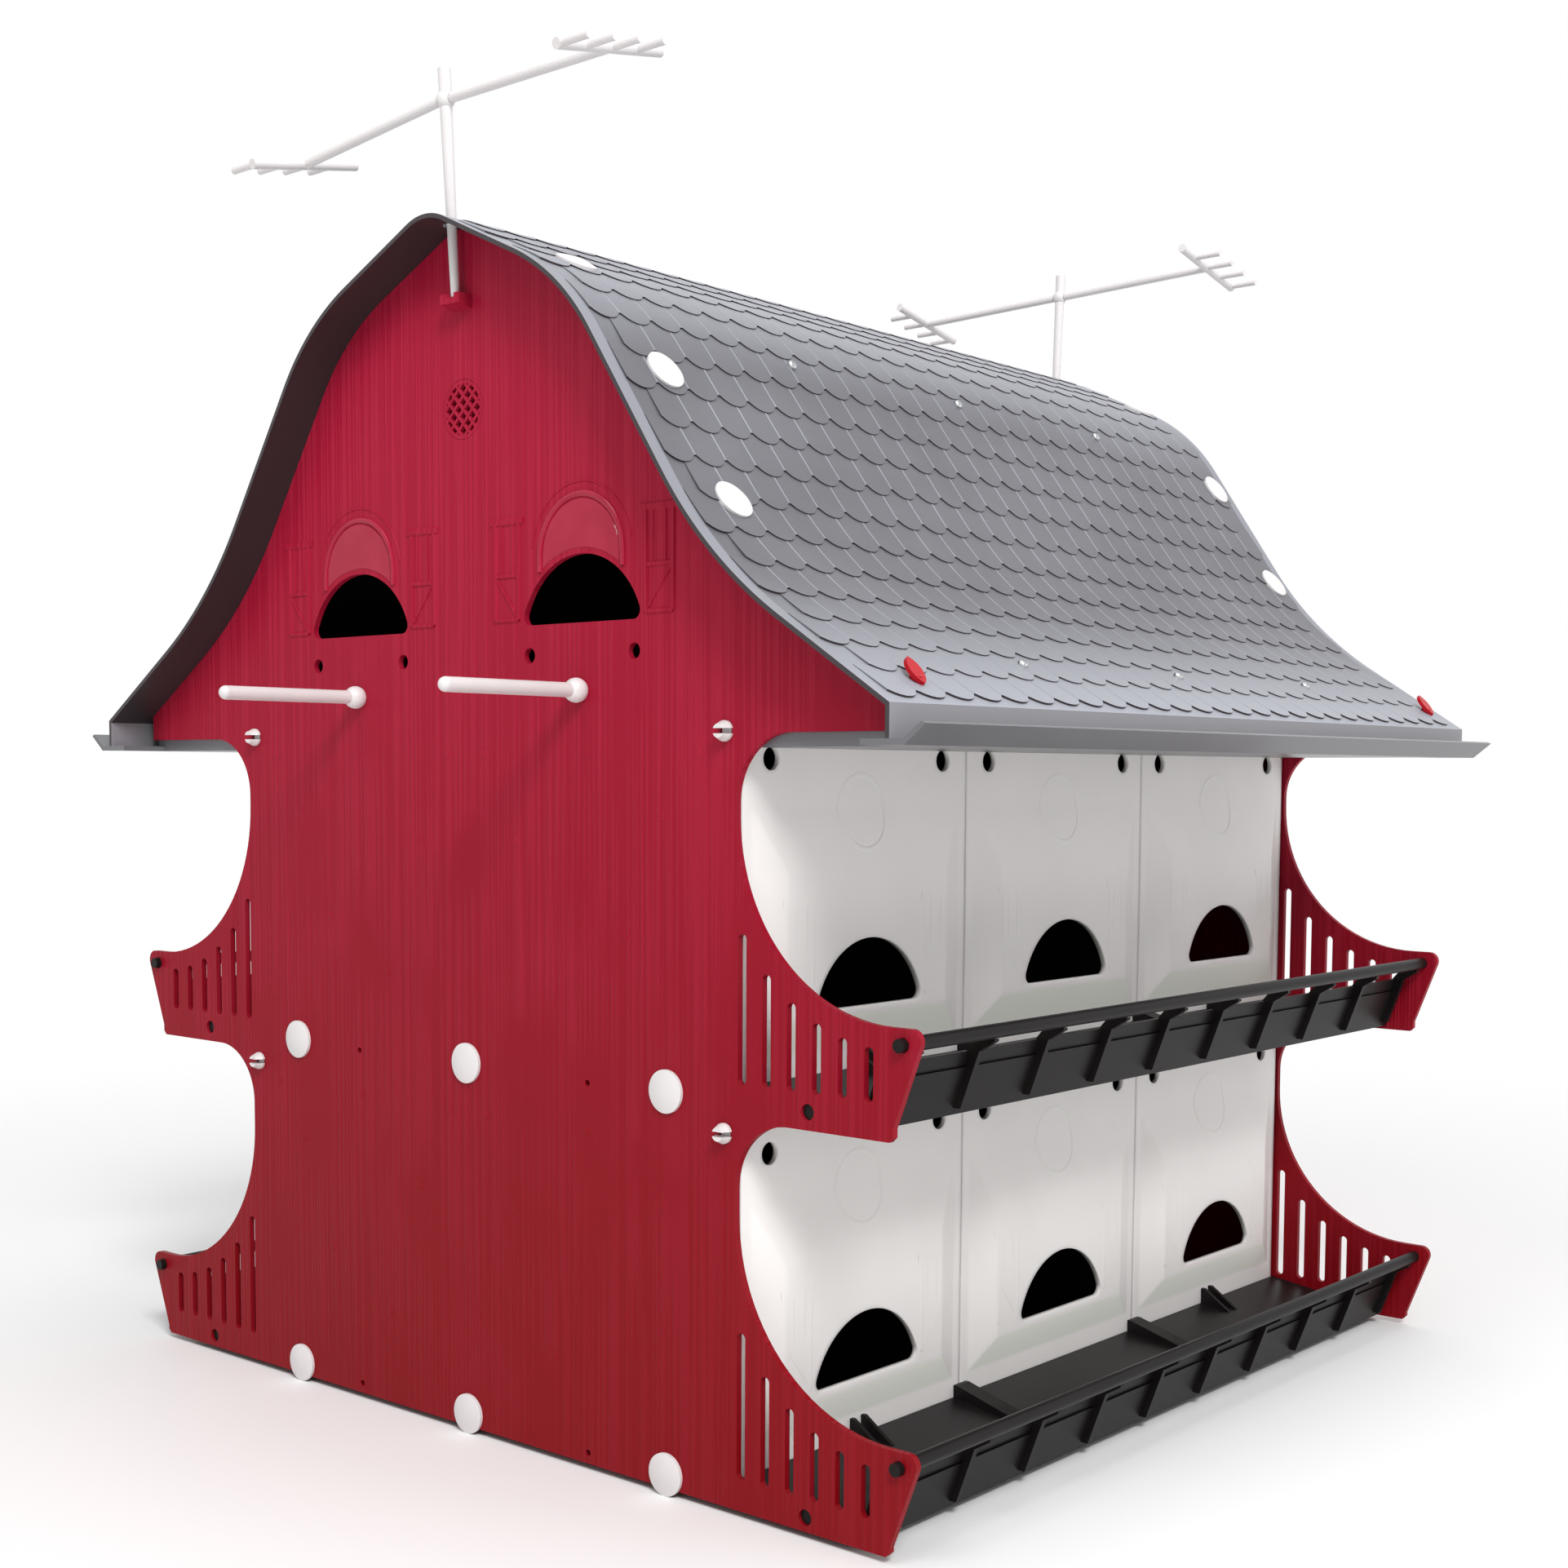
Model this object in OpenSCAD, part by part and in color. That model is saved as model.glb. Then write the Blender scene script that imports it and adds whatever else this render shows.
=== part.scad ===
// Two-storey plastic barn for purple martins: twelve rooms, a loft, four railed porches,
// a curved gambrel roof and two masts with perching rakes.
// Frame: origin under the middle of the house, X across, Y along the ridge, Z up, in millimetres.

/* [Body] */
// Length of one room along the ridge
room_pitch = 159; // [140:1:175]
// Clearance between the end rooms and the end panels
end_gap = 1.5; // [0.5:0.1:3]
// Width of the body over the room fronts
body_w = 337; // [300:1:360]
// Height of one storey
storey_h = 168; // [155:1:185]
// Wall thickness of floors, fronts and dividers
wall_t = 2.5; // [2:0.1:3.5]
// Depth of a floor tray
floor_h = 11; // [8:0.5:14]
// Side clearance between neighbouring pieces
fit_gap = 0.2; // [0.1:0.05:0.4]

/* [Room fronts] */
// How far the entrance plane stands proud of the wall
bulge_out = 6.3; // [4:0.1:9]
// Half width of the entrance plane
bulge_hw = 56.5; // [48:0.5:60]
// Half width of the bulge where it meets the wall
bulge_foot_hw = 73; // [66:0.5:76]
// Height of the bulge's lower edge above the storey's base
bulge_low = 22; // [16:0.5:26]
// Height of the entrance plane's lower edge above the storey's base
bulge_sill = 37; // [32:0.5:39]
// Height of the entrance plane's upper edge above the storey's base
bulge_top = 100; // [85:1:110]
// Height at which the bulge has died into the wall
bulge_end = 128; // [115:1:140]
// Width of a crescent entrance
entry_w = 76; // [70:0.5:80]
// Height of a crescent entrance
entry_h = 30; // [26:0.5:34]
// Radius of an entrance's lower corners
entry_corner = 4; // [2:0.5:7]
// Height of an entrance above its storey's base
entry_z = 40.5; // [39:0.5:46]
// Diameter of the round air holes
air_d = 10; // [6:0.5:12]
// Distance between the two air holes of a room
air_span = 121.7; // [100:0.5:130]
// Height of the air holes above the storey's base
air_z = 149; // [140:0.5:150]

/* [End panels] */
// Thickness of an end panel
panel_t = 3; // [2:0.1:4]
// Radius of the big concave curve above a porch bracket
sweep_r = 81; // [70:0.5:84]
// Height of the centre of that curve above the storey's base
sweep_z = 125; // [112:0.5:128]
// Radius of the small curve below a porch bracket or an eave
cove_r = 29; // [20:0.5:32]
// How far a bracket's tip stands out from the body
bracket_out = 97; // [94:0.5:100]
// How far a bracket's lower corner stands out from the body
bracket_foot = 82; // [70:0.5:86]
// Width of a bracket slot
slot_w = 4.6; // [3:0.1:6]
// Distance between bracket slots
slot_pitch = 13.4; // [11:0.1:13.8]
// Distance of the first slot from the body
slot_in = 4.7; // [3.5:0.1:7]
// Height of the slots' lower ends above the storey's base
slot_low = 13.5; // [11:0.5:18]
// Rim between the slots' upper ends and the bracket's edge
slot_rim = 11.5; // [8:0.5:14]
// How far the eave return ends inside the fascia
return_in = 8; // [4:0.5:14]
// How far the eave return lies below the loft floor
return_drop = 8.6; // [6:0.1:12]
// Distance of the loft entrances from the middle
loft_x = 77.5; // [60:0.5:90]

/* [Roof] */
// How far the eave corner stands out from the body
eave_out = 97.5; // [94:0.5:105]
// Height of the eave corner above the loft floor's base
eave_up = 1.5; // [0:0.1:5]
// Height of the ridge above the eave corner
roof_rise = 226; // [200:0.5:250]
// Pitch of the crown, in degrees
crown_a = 24.8; // [20:0.1:28]
// Pitch of the eave slope, in degrees
skirt_a = 32.5; // [30:0.1:36]
// Half width of the crown, up to the knee
knee_x = 88; // [80:0.5:96]
// Width of the eave slope, in from the eave corner
skirt_w = 92.9; // [85:0.1:98]
// Radius of the rounded ridge
ridge_r = 30; // [10:1:45]
// Radius of the upper knee
knee_r = 115; // [60:1:130]
// Radius of the lower sweep
skirt_r = 215; // [120:1:230]
// Thickness of the roof sheet
roof_t = 2; // [2:0.1:3]
// Overhang of the roof beyond each end panel
overhang = 22; // [15:0.5:30]
// Height of the vertical fascia below the eave corner
fascia_h = 13.5; // [12:0.5:14]
// How far the gutter lip stands out beyond the fascia
lip_out = 17; // [12:0.5:20]
// Height of the gutter lip
lip_h = 8; // [5:0.5:10]

/* [Porches] */
// Height of the porch floor at the wall above the storey's base
porch_z = 12; // [10:0.5:13]
// Thickness of the porch mouldings
porch_t = 2.5; // [2:0.1:3.5]
// How far the sloping band stands inside the brackets' outer edge
band_in = 15; // [12:0.5:18]
// Height of the band's upper edge above the storey's base
band_top = 28.5; // [27:0.5:33]
// Height of the ledge on the band's outer face
ledge_z = 21.5; // [16:0.5:26]
// Height of a porch rail's centre above the storey's base
rail_z = 37.5; // [36.5:0.5:38]
// Diameter of a porch rail
rail_d = 6.2; // [5:0.1:7]
// Number of struts under a rail
strut_count = 10; // [6:2:12]
// Width of a strut
strut_t = 3; // [2:0.1:4]
// Depth of a strut in front of the band
strut_out = 3.5; // [2:0.1:5]

/* [Fittings] */
// Diameter of the push-in caps
cap_d = 19; // [15:0.5:21]
// Height of a cap's domed head
cap_h = 3; // [2.2:0.1:4]
// Height of a cap's centre above the floor's underside
cap_rise = 6.4; // [5.5:0.1:7]
// Distance of the outer caps from the middle
cap_x = 130; // [110:1:140]
// Diameter of the loft perches
perch_d = 6.5; // [5:0.1:8]
// Length of the loft perches
perch_len = 80; // [60:1:100]
// Diameter of a perch's knob at the panel
knob_d = 11; // [9:0.5:13]
// Diameter of the snap pins' heads
pin_d = 8.8; // [7.5:0.1:10]
// Diameter of the round loft vents
vent_d = 27.5; // [20:0.5:34]

/* [Masts] */
// Diameter of a mast at its top
mast_d = 6; // [5:0.1:8]
// Diameter of a mast at its foot
mast_foot_d = 4; // [3:0.1:5]
// Height of a mast's top above the ridge
mast_rise = 63.5; // [40:0.5:90]
// Distance of a mast's foot from the end panel
mast_off = 4; // [3.5:0.1:5]
// How far a mast leans outwards, in degrees
mast_lean = 3.2; // [0:0.1:5]
// Height of a shelf under a mast, measured down from the ridge
shelf_drop = 35.5; // [30:0.5:45]
// Half length of an arm
arm_len = 105; // [70:1:120]
// Diameter of an arm
arm_d = 4.4; // [3:0.1:5]
// Distance of the arm below the mast's top
arm_drop = 13.5; // [8:0.5:25]
// Length of a rake's bar
rake_len = 62; // [45:1:80]
// How far a rake's bar tilts, in degrees
rake_tilt = 11.5; // [0:0.5:20]
// Number of tines on a rake
tine_count = 4; // [3:1:5]
// Length of a tine
tine_len = 17; // [10:0.5:25]

/* [Pole fixing] */
// Distance between the bolt holes in the underside
bolt_span = 76; // [50:1:110]
// Diameter of the bolt holes
bolt_d = 6.5; // [5:0.1:9]
// Diameter of the bosses round them
boss_d = 16; // [12:0.5:22]

/* [Hidden] */
$fn = 64;
body_hw = body_w / 2;
room_count = 3;
inner_len = room_count * room_pitch + 2 * end_gap;
part_len = inner_len - 2 * fit_gap;
panel_y = inner_len / 2;
face_y = panel_y + panel_t;
body_len = 2 * face_y;
base_z = cap_d / 2 - cap_rise;
loft_z = 2 * storey_h;
front_h = storey_h - floor_h;
sides = [-1, 1];

// Brackets of the end panels
wall_x = body_hw + 1;
tip_x = body_hw + bracket_out;
foot_x = body_hw + bracket_foot;
sweep_x = wall_x + sweep_r;
bracket_h = sweep_z - sweep_r;
bracket_lap = 1.5;
tip_r = 5;
lug = 2;
slot_count = 6;
edge_lean = (bracket_out - bracket_foot - lug) / (bracket_h - tip_r - 2 * lug);
rail_in = 8.6;
rail_x = tip_x - rail_in;
rail_pin_d = 5.6;
rail_pin_out = 3;
peg_x = body_hw + 40.2;
peg_z = 6;
peg_d = 6.4;
rod_hole_x = 81;
rod_hole_z = 5;
rod_hole_d = 3;

// Crescent entrances
entry_r = (pow(entry_w / 2, 2) + pow(entry_h, 2)) / (2 * entry_h);
drain_span = 66;
drain_z = 27;
drain_d = 7;

// Roof
eave_x = body_hw + eave_out;
eave_h = loft_z + eave_up;
ridge_h = eave_h + roof_rise;
return_z = loft_z - return_drop;
break_x = eave_x - skirt_w;
knee_h = ridge_h - tan(crown_a) * knee_x;
break_h = eave_h + tan(skirt_a) * skirt_w;
steep_a = atan((knee_h - break_h) / (break_x - knee_x));
roof_len = body_len + 2 * overhang;
soffit_z = eave_h - fascia_h;
vent_z = ridge_h - 86.5;

// Porches
porch_low = 0.5;
strut_low = 3.5;
strut_pitch = part_len / (strut_count - 0.7);

// Fittings
stem_d = 8;
cap_rim = 1.4;
perch_z = 10.8;
perch_stem_d = 4;
pin_x = body_hw - 4.8;
pin_z = storey_h - 7.8;
pin_stem_d = 6;
roof_cap_xs = [knee_x - 27, (knee_x + break_x) / 2 - 15, break_x - 18];
roof_cap_ys = [-panel_y + 10, face_y + 4.5];
tab_x = eave_x - 15;
roof_stem = 0.7 * roof_t;
mast_bore = 8;
arm_core_d = arm_d - 0.5;
rake_d = arm_d + 0.4;
tine_d = 3.4;

// Slope lines of the roof: each is z = c - tan(a) * x, moved inwards by d.
function crown_c(d) = ridge_h - d / cos(crown_a);
function steep_c(d) = knee_h + tan(steep_a) * knee_x - d / cos(steep_a);
function skirt_c(d) = eave_h + tan(skirt_a) * eave_x - d / cos(skirt_a);
function cross_x(c1, a1, c2, a2) = (c2 - c1) / (tan(a2) - tan(a1));
function knee_pt(d) = let (x = cross_x(crown_c(d), crown_a, steep_c(d), steep_a))
    [x, crown_c(d) - tan(crown_a) * x];
function skirt_pt(d) = let (x = cross_x(skirt_c(d), skirt_a, steep_c(d), steep_a))
    [x, skirt_c(d) - tan(skirt_a) * x];
function skirt_z(x, d) = skirt_c(d) - tan(skirt_a) * x;

module along_y(len) {
    rotate([90, 0, 0]) linear_extrude(len, center = true) children();
}

module each_side() {
    children();
    mirror([1, 0, 0]) children();
}

// Points along an arc round c from angle a0 to a1.
function arc(c, r, a0, a1, n = 24) =
    [for (i = [0:n]) let (a = a0 + (a1 - a0) * i / n) c + r * [cos(a), sin(a)]];

// Crescent entrance: a circle's segment with its chord at the bottom and rounded corners.
module crescent() {
    rise = entry_corner - entry_h + entry_r;
    x = sqrt(pow(entry_r - entry_corner, 2) - pow(rise, 2));
    turn = atan2(rise, x);
    polygon(concat(
        arc([x, entry_corner], entry_corner, -90, turn, 6),
        arc([0, entry_h - entry_r], entry_r, turn, 180 - turn, 32),
        arc([-x, entry_corner], entry_corner, 180 - turn, 270, 6)
    ));
}

module slot(x, z0, z1) {
    translate([x, z0 + slot_w / 2]) circle(d = slot_w);
    translate([x, z1 - slot_w / 2]) circle(d = slot_w);
    translate([x - slot_w / 2, z0 + slot_w / 2]) square([slot_w, z1 - z0 - slot_w]);
}

// Top of a slot at x: the slots end on a curve that runs slot_rim inside the bracket's edge.
function slot_top(x) = sweep_z - sqrt(pow(sweep_r + slot_rim, 2) - pow(sweep_x - x, 2)) + slot_w / 2;

// Outer edge of one bracket and the curve above it, for a storey with its base at z.
function bracket_edge(z, drop) = concat(
    [[foot_x, z - drop], [foot_x + lug, z - drop + lug], [foot_x + lug, z + 2 * lug]],
    arc([tip_x - tip_r, z + bracket_h - tip_r], tip_r, -20, 90, 8),
    arc([sweep_x, z + sweep_z], sweep_r, 270, 180)
);
function cove_edge(z) = arc([wall_x + cove_r, z - cove_r], cove_r, 180, 90);

// Slope of the roof inset by d, from half width w up to x0 at the ridge.
function slope_edge(d, x0, w) = concat(
    [[w, skirt_z(w, d)]],
    arc(skirt_pt(-skirt_r), skirt_r + d, 270 - skirt_a, 270 - steep_a),
    arc(knee_pt(knee_r), knee_r - d, 90 - steep_a, 90 - crown_a),
    arc([0, crown_c(ridge_r)], ridge_r - d, 90 - crown_a, acos(x0 / (ridge_r - d)), 12)
);
function backwards(pts) = [for (i = [len(pts) - 1:-1:0]) pts[i]];

// Half outline of an end panel, from the middle of its lower edge up to the ridge.
function gable_edge(d) = concat(
    [[0, 0]], bracket_edge(0, 0),
    cove_edge(storey_h - bracket_lap), bracket_edge(storey_h, bracket_lap),
    cove_edge(return_z),
    [[eave_x - return_in, return_z]],
    slope_edge(d, 0, eave_x - return_in)
);
function both_halves(half) =
    concat(half, [for (i = [len(half) - 1:-1:0]) if (half[i][0] > 0) [-half[i][0], half[i][1]]]);

module bracket_holes() {
    for (i = [0:slot_count - 1]) {
        x = body_hw + slot_in + i * slot_pitch;
        slot(x, slot_low, slot_top(x));
    }
    translate([peg_x, peg_z]) circle(d = peg_d + 2 * fit_gap);
    translate([rail_x, rail_z]) circle(d = rail_pin_d + 2 * fit_gap);
    translate([pin_x, pin_z]) circle(d = pin_stem_d + 2 * fit_gap);
    translate([rod_hole_x, rod_hole_z]) circle(d = rod_hole_d);
}

module loft_holes() {
    translate([loft_x, entry_z]) crescent();
    translate([loft_x, perch_z]) circle(d = perch_stem_d + 2 * fit_gap);
    for (s = sides) translate([loft_x + s * drain_span / 2, drain_z]) circle(d = drain_d);
}

module gable_2d() {
    difference() {
        polygon(both_halves(gable_edge(roof_t + fit_gap)));
        each_side() {
            bracket_holes();
            translate([0, storey_h]) bracket_holes();
            translate([0, loft_z]) loft_holes();
        }
        for (k = [0, 1]) for (x = [-cap_x, 0, cap_x])
            translate([x, cap_rise + k * storey_h]) circle(d = stem_d + 2 * fit_gap);
        translate([0, vent_z]) vent_2d(0);
    }
}

// Outline of the loft vent, moved inwards by d.
module vent_2d(d) { circle(d = vent_d - 2 * d); }

module gable(side) {
    color("firebrick")
    translate([0, side * (panel_y + panel_t / 2), base_z]) along_y(panel_t) gable_2d();
}

module front_gable() { gable(-1); }
module back_gable() { gable(1); }

// Floor tray: a top plate with a skirt, open underneath.
module floor_tray(z, hw) {
    color("whitesmoke")
    translate([0, 0, z]) difference() {
        translate([-hw, -part_len / 2, 0]) cube([2 * hw, part_len, floor_h]);
        translate([-hw + wall_t, -part_len / 2 + wall_t, -1])
            cube([2 * (hw - wall_t), part_len - 2 * wall_t, floor_h - wall_t + 1]);
    }
}

module bolt_spots() {
    for (x = sides) for (y = sides) translate([x * bolt_span / 2, y * bolt_span / 2, base_z]) children();
}
module bottom_floor() {
    color("whitesmoke") difference() {
        union() {
            floor_tray(base_z, body_hw);
            bolt_spots() cylinder(h = floor_h - wall_t / 2, d = boss_d);
        }
        bolt_spots() translate([0, 0, -1]) cylinder(h = floor_h + 2, d = bolt_d);
    }
}
module middle_floor() {
    floor_tray(base_z + storey_h, body_hw);
}
module attic_floor() {
    floor_tray(base_z + loft_z, body_hw);
}

module dividers(z) {
    hw = body_hw - wall_t - fit_gap;
    h = front_h - fit_gap;
    color("whitesmoke")
    translate([0, 0, z + floor_h]) union() {
        translate([-wall_t / 2, -part_len / 2, 0]) cube([wall_t, part_len, h]);
        for (s = sides) translate([-hw, s * room_pitch / 2 - wall_t / 2, 0]) cube([2 * hw, wall_t, h]);
    }
}
module lower_dividers() { dividers(base_z); }
module upper_dividers() { dividers(base_z + storey_h); }

// Frustum that lifts the entrance plane off the wall, as two crossing prisms that start inside it.
module bulge(x0) {
    sink = 1 + bulge_out;
    low = bulge_sill - (bulge_sill - bulge_low) * sink / bulge_out;
    high = bulge_top + (bulge_end - bulge_top) * sink / bulge_out;
    foot = bulge_hw + (bulge_foot_hw - bulge_hw) * sink / bulge_out;
    translate([x0, 0, 0]) intersection() {
        along_y(room_pitch)
            polygon([[bulge_out - sink, low], [bulge_out, bulge_sill],
                [bulge_out, bulge_top], [bulge_out - sink, high]]);
        linear_extrude(storey_h)
            polygon([[bulge_out - sink, -foot], [bulge_out, -bulge_hw],
                [bulge_out, bulge_hw], [bulge_out - sink, foot]]);
    }
}

// Front of one room, in place on the right-hand side with its storey's base at z = 0.
module room_front() {
    w = room_pitch - 2 * fit_gap;
    reach = 20;
    difference() {
        union() {
            translate([body_hw - wall_t, -w / 2, floor_h]) cube([wall_t, w, front_h - fit_gap]);
            bulge(body_hw);
        }
        bulge(body_hw - wall_t);
        translate([body_hw - reach, 0, entry_z]) rotate([90, 0, 90]) linear_extrude(2 * reach) crescent();
        for (s = sides)
            translate([body_hw - reach, s * air_span / 2, air_z]) rotate([0, 90, 0])
                cylinder(h = 2 * reach, d = air_d);
    }
}
module place_front(side, storey, i) {
    color("whitesmoke")
    translate([0, (i - 2) * room_pitch, base_z + storey * storey_h])
        mirror([side < 0 ? 1 : 0, 0, 0]) room_front();
}
module left_lower_front_1() { place_front(-1, 0, 1); }
module left_lower_front_2() { place_front(-1, 0, 2); }
module left_lower_front_3() { place_front(-1, 0, 3); }
module left_upper_front_1() { place_front(-1, 1, 1); }
module left_upper_front_2() { place_front(-1, 1, 2); }
module left_upper_front_3() { place_front(-1, 1, 3); }
module right_lower_front_1() { place_front(1, 0, 1); }
module right_lower_front_2() { place_front(1, 0, 2); }
module right_lower_front_3() { place_front(1, 0, 3); }
module right_upper_front_1() { place_front(1, 1, 1); }
module right_upper_front_2() { place_front(1, 1, 2); }
module right_upper_front_3() { place_front(1, 1, 3); }

// Outer face of the porch band at height z: parallel to the brackets' outer edge.
function band_x(z) = foot_x + lug - band_in + edge_lean * (z - 2 * lug);

// Porch: a thin floor that falls from the wall to a band that slopes outwards, with a ledge.
module porch_2d() {
    x0 = body_hw + fit_gap;
    ledge = 1;
    polygon([
        [x0, porch_z - porch_t], [band_x(0) - 8, porch_low], [band_x(porch_low), porch_low],
        [band_x(ledge_z), ledge_z], [band_x(ledge_z) - ledge, ledge_z],
        [band_x(band_top) - ledge, band_top], [band_x(band_top) - ledge - porch_t, band_top],
        [band_x(porch_low + porch_t) - ledge - porch_t, porch_low + porch_t], [x0, porch_z]
    ]);
}

// Strut on the band's outer face, with a cradle for the rail at its top.
module strut_2d() {
    difference() {
        polygon([
            [band_x(strut_low) - 1, strut_low], [band_x(strut_low) + strut_out, strut_low],
            [band_x(band_top) + strut_out, band_top], [rail_x + 1, rail_z - rail_d / 2 - 1.2],
            [rail_x + 1, rail_z], [rail_x - rail_d / 2 - 2.4, rail_z], [band_x(band_top) - 3, band_top]
        ]);
        translate([rail_x, rail_z]) circle(d = rail_d + 2 * fit_gap);
    }
}

// Wedge that stands on the porch floor against the wall.
module wedge(w, h, len) {
    x0 = body_hw + fit_gap;
    fall = (porch_z - porch_low - porch_t) / (band_x(0) - x0);
    along_y(w) polygon([[x0, porch_z - 1], [x0, porch_z + h], [x0 + 2, porch_z + h],
        [x0 + len, porch_z - fall * len - 1]]);
}

rib_w = 10;
rib_h = 6;
rib_len = 52;
horn_t = 2;
horn_span = 8;
horn_h = 8.5;
horn_len = 20;
module porch() {
    along_y(part_len) porch_2d();
    for (i = [0:strut_count - 1])
        translate([0, (i - (strut_count - 1) / 2) * strut_pitch, 0]) along_y(strut_t) strut_2d();
    for (s = sides) {
        translate([0, s * room_pitch / 2, 0]) wedge(rib_w, rib_h, rib_len);
        for (t = sides)
            translate([0, s * room_pitch + t * horn_span / 2, 0]) wedge(horn_t, horn_h, horn_len);
        translate([peg_x, s * (panel_y + panel_t / 2), peg_z]) rotate([s * 90, 0, 0])
            cylinder(h = panel_t / 2 + fit_gap + 4, d = peg_d);
    }
}
module place_porch(side, storey) {
    color([0.15, 0.13, 0.14])
    translate([0, 0, base_z + storey * storey_h]) mirror([side < 0 ? 1 : 0, 0, 0])
        porch();
}
module left_lower_porch() { place_porch(-1, 0); }
module left_upper_porch() { place_porch(-1, 1); }
module right_lower_porch() { place_porch(1, 0); }
module right_upper_porch() { place_porch(1, 1); }

// Round rail whose thinner ends pass through the end panels.
module rail() {
    translate([rail_x, 0, rail_z]) rotate([90, 0, 0]) {
        cylinder(h = part_len, d = rail_d, center = true);
        cylinder(h = body_len + 2 * rail_pin_out, d = rail_pin_d, center = true);
    }
}
module place_rail(side, storey) {
    color([0.15, 0.13, 0.14])
    translate([0, 0, base_z + storey * storey_h]) mirror([side < 0 ? 1 : 0, 0, 0]) rail();
}
module left_lower_rail() { place_rail(-1, 0); }
module left_upper_rail() { place_rail(-1, 1); }
module right_lower_rail() { place_rail(1, 0); }
module right_upper_rail() { place_rail(1, 1); }

// Half of the roof: one sheet from the ridge to the fascia, with seats for its caps and holes for the masts.
module roof_half() {
    difference() {
        translate([0, 0, base_z]) along_y(roof_len) polygon(concat(
            [[eave_x, soffit_z]], slope_edge(0, fit_gap / 2, eave_x),
            backwards(slope_edge(roof_t, fit_gap / 2, eave_x - roof_t)), [[eave_x - roof_t, soffit_z]]
        ));
        for (s = sides) on_mast(s) cylinder(h = mast_len - arm_drop - mast_d, d = mast_bore);
        roof_cap_spots() translate([0, 0, -roof_stem - fit_gap])
            cylinder(h = 2 * roof_t, d = stem_d + 2 * fit_gap);
    }
}
module right_roof() { color("slategray") roof_half(); }
module left_roof() { color("slategray") rotate([0, 0, 180]) roof_half(); }

// Eave soffit with a stiffening rim at its ends, and the lip of the gutter kicked up beyond the fascia.
module gutter() {
    x0 = body_hw + fit_gap;
    x1 = eave_x - 8;
    rim_h = 6;
    lap = 14;
    bend = 7;
    lip_t = 2;
    translate([0, 0, base_z + soffit_z]) {
        along_y(part_len) polygon([[x0, -wall_t], [x1, -wall_t], [x1, 0], [x0, 0]]);
        for (s = sides) translate([0, s * (part_len - wall_t) / 2, -wall_t])
            along_y(wall_t) translate([x0, 0]) square([x1 - x0, rim_h]);
        along_y(roof_len)
            polygon([[eave_x - lap, -wall_t], [eave_x + bend, -wall_t], [eave_x + lip_out, lip_h - wall_t],
                [eave_x + lip_out - lip_t, lip_h - wall_t + 0.8], [eave_x + bend - 1, 0], [eave_x - lap, 0]]);
    }
}
module right_gutter() { color("dimgray") gutter(); }
module left_gutter() { color("dimgray") mirror([1, 0, 0]) gutter(); }

// Solid of revolution about Z from half outline points.
module turned(points) {
    rotate_extrude() polygon(points);
}

// Push-in cap with a low dome above z = 0 and its stem below.
module cap(stem_len) {
    dome_h = cap_h - cap_rim;
    dome_r = (pow(cap_d / 2, 2) + pow(dome_h, 2)) / (2 * dome_h);
    turned(concat(
        [[0, -stem_len], [stem_d / 2, -stem_len], [stem_d / 2, 0], [cap_d / 2, 0]],
        arc([0, cap_h - dome_r], dome_r, acos(cap_d / 2 / dome_r), 90, 6)
    ));
}

// Places its children on an end panel's outer face at [x, z], with +Z pointing outwards.
module on_panel(side, x, z) {
    translate([x, side * face_y, base_z + z]) rotate([-side * 90, 0, 0]) children();
}
module end_caps(side) {
    color("white")
    for (k = [0, 1]) for (x = [-cap_x, 0, cap_x]) on_panel(side, x, cap_rise + k * storey_h) cap(panel_t);
}
module front_caps() { end_caps(-1); }
module back_caps() { end_caps(1); }

// Height and pitch of the roof's outer surface at x.
function roof_h(x) =
    let (c1 = knee_pt(knee_r), c2 = skirt_pt(-skirt_r),
        a = c1[0] + knee_r * sin(crown_a), b = c1[0] + knee_r * sin(steep_a),
        e = c2[0] - skirt_r * sin(steep_a), f = c2[0] - skirt_r * sin(skirt_a))
    x < a ? [crown_c(0) - tan(crown_a) * x, crown_a]
    : x < b ? [c1[1] + sqrt(pow(knee_r, 2) - pow(x - c1[0], 2)), asin((x - c1[0]) / knee_r)]
    : x < e ? [steep_c(0) - tan(steep_a) * x, steep_a]
    : x < f ? [c2[1] - sqrt(pow(skirt_r, 2) - pow(c2[0] - x, 2)), asin((c2[0] - x) / skirt_r)]
    : [skirt_c(0) - tan(skirt_a) * x, skirt_a];

// Places its children on the right roof half at [x, y], with +Z square to the roof and +X down the slope.
module on_roof(x, y) {
    translate([x, y, base_z + roof_h(x)[0]]) rotate([0, roof_h(x)[1], 0]) translate([0, 0, 0.3]) children();
}
module roof_cap_spots() {
    for (y = roof_cap_ys) for (x = roof_cap_xs) on_roof(x, y) children();
}
module both_roofs() {
    children();
    rotate([0, 0, 180]) children();
}
module roof_caps() {
    color("white") both_roofs() roof_cap_spots() cap(roof_stem);
}

// Hook at each end of an eave: a leaf on a short stud, rising up the slope.
module roof_tabs() {
    leaf_len = 14;
    leaf_w = 8;
    leaf_r = (pow(leaf_len, 2) + pow(leaf_w, 2)) / (4 * leaf_w);
    color("red") both_roofs() for (y = roof_cap_ys) on_roof(tab_x, y) {
        cylinder(h = 3, d = 5);
        translate([-2, 0, 2.2]) rotate([0, 18, 0]) linear_extrude(1.8) intersection_for(s = sides)
            translate([0, s * (leaf_r - leaf_w / 2)]) circle(r = leaf_r);
    }
}

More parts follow.
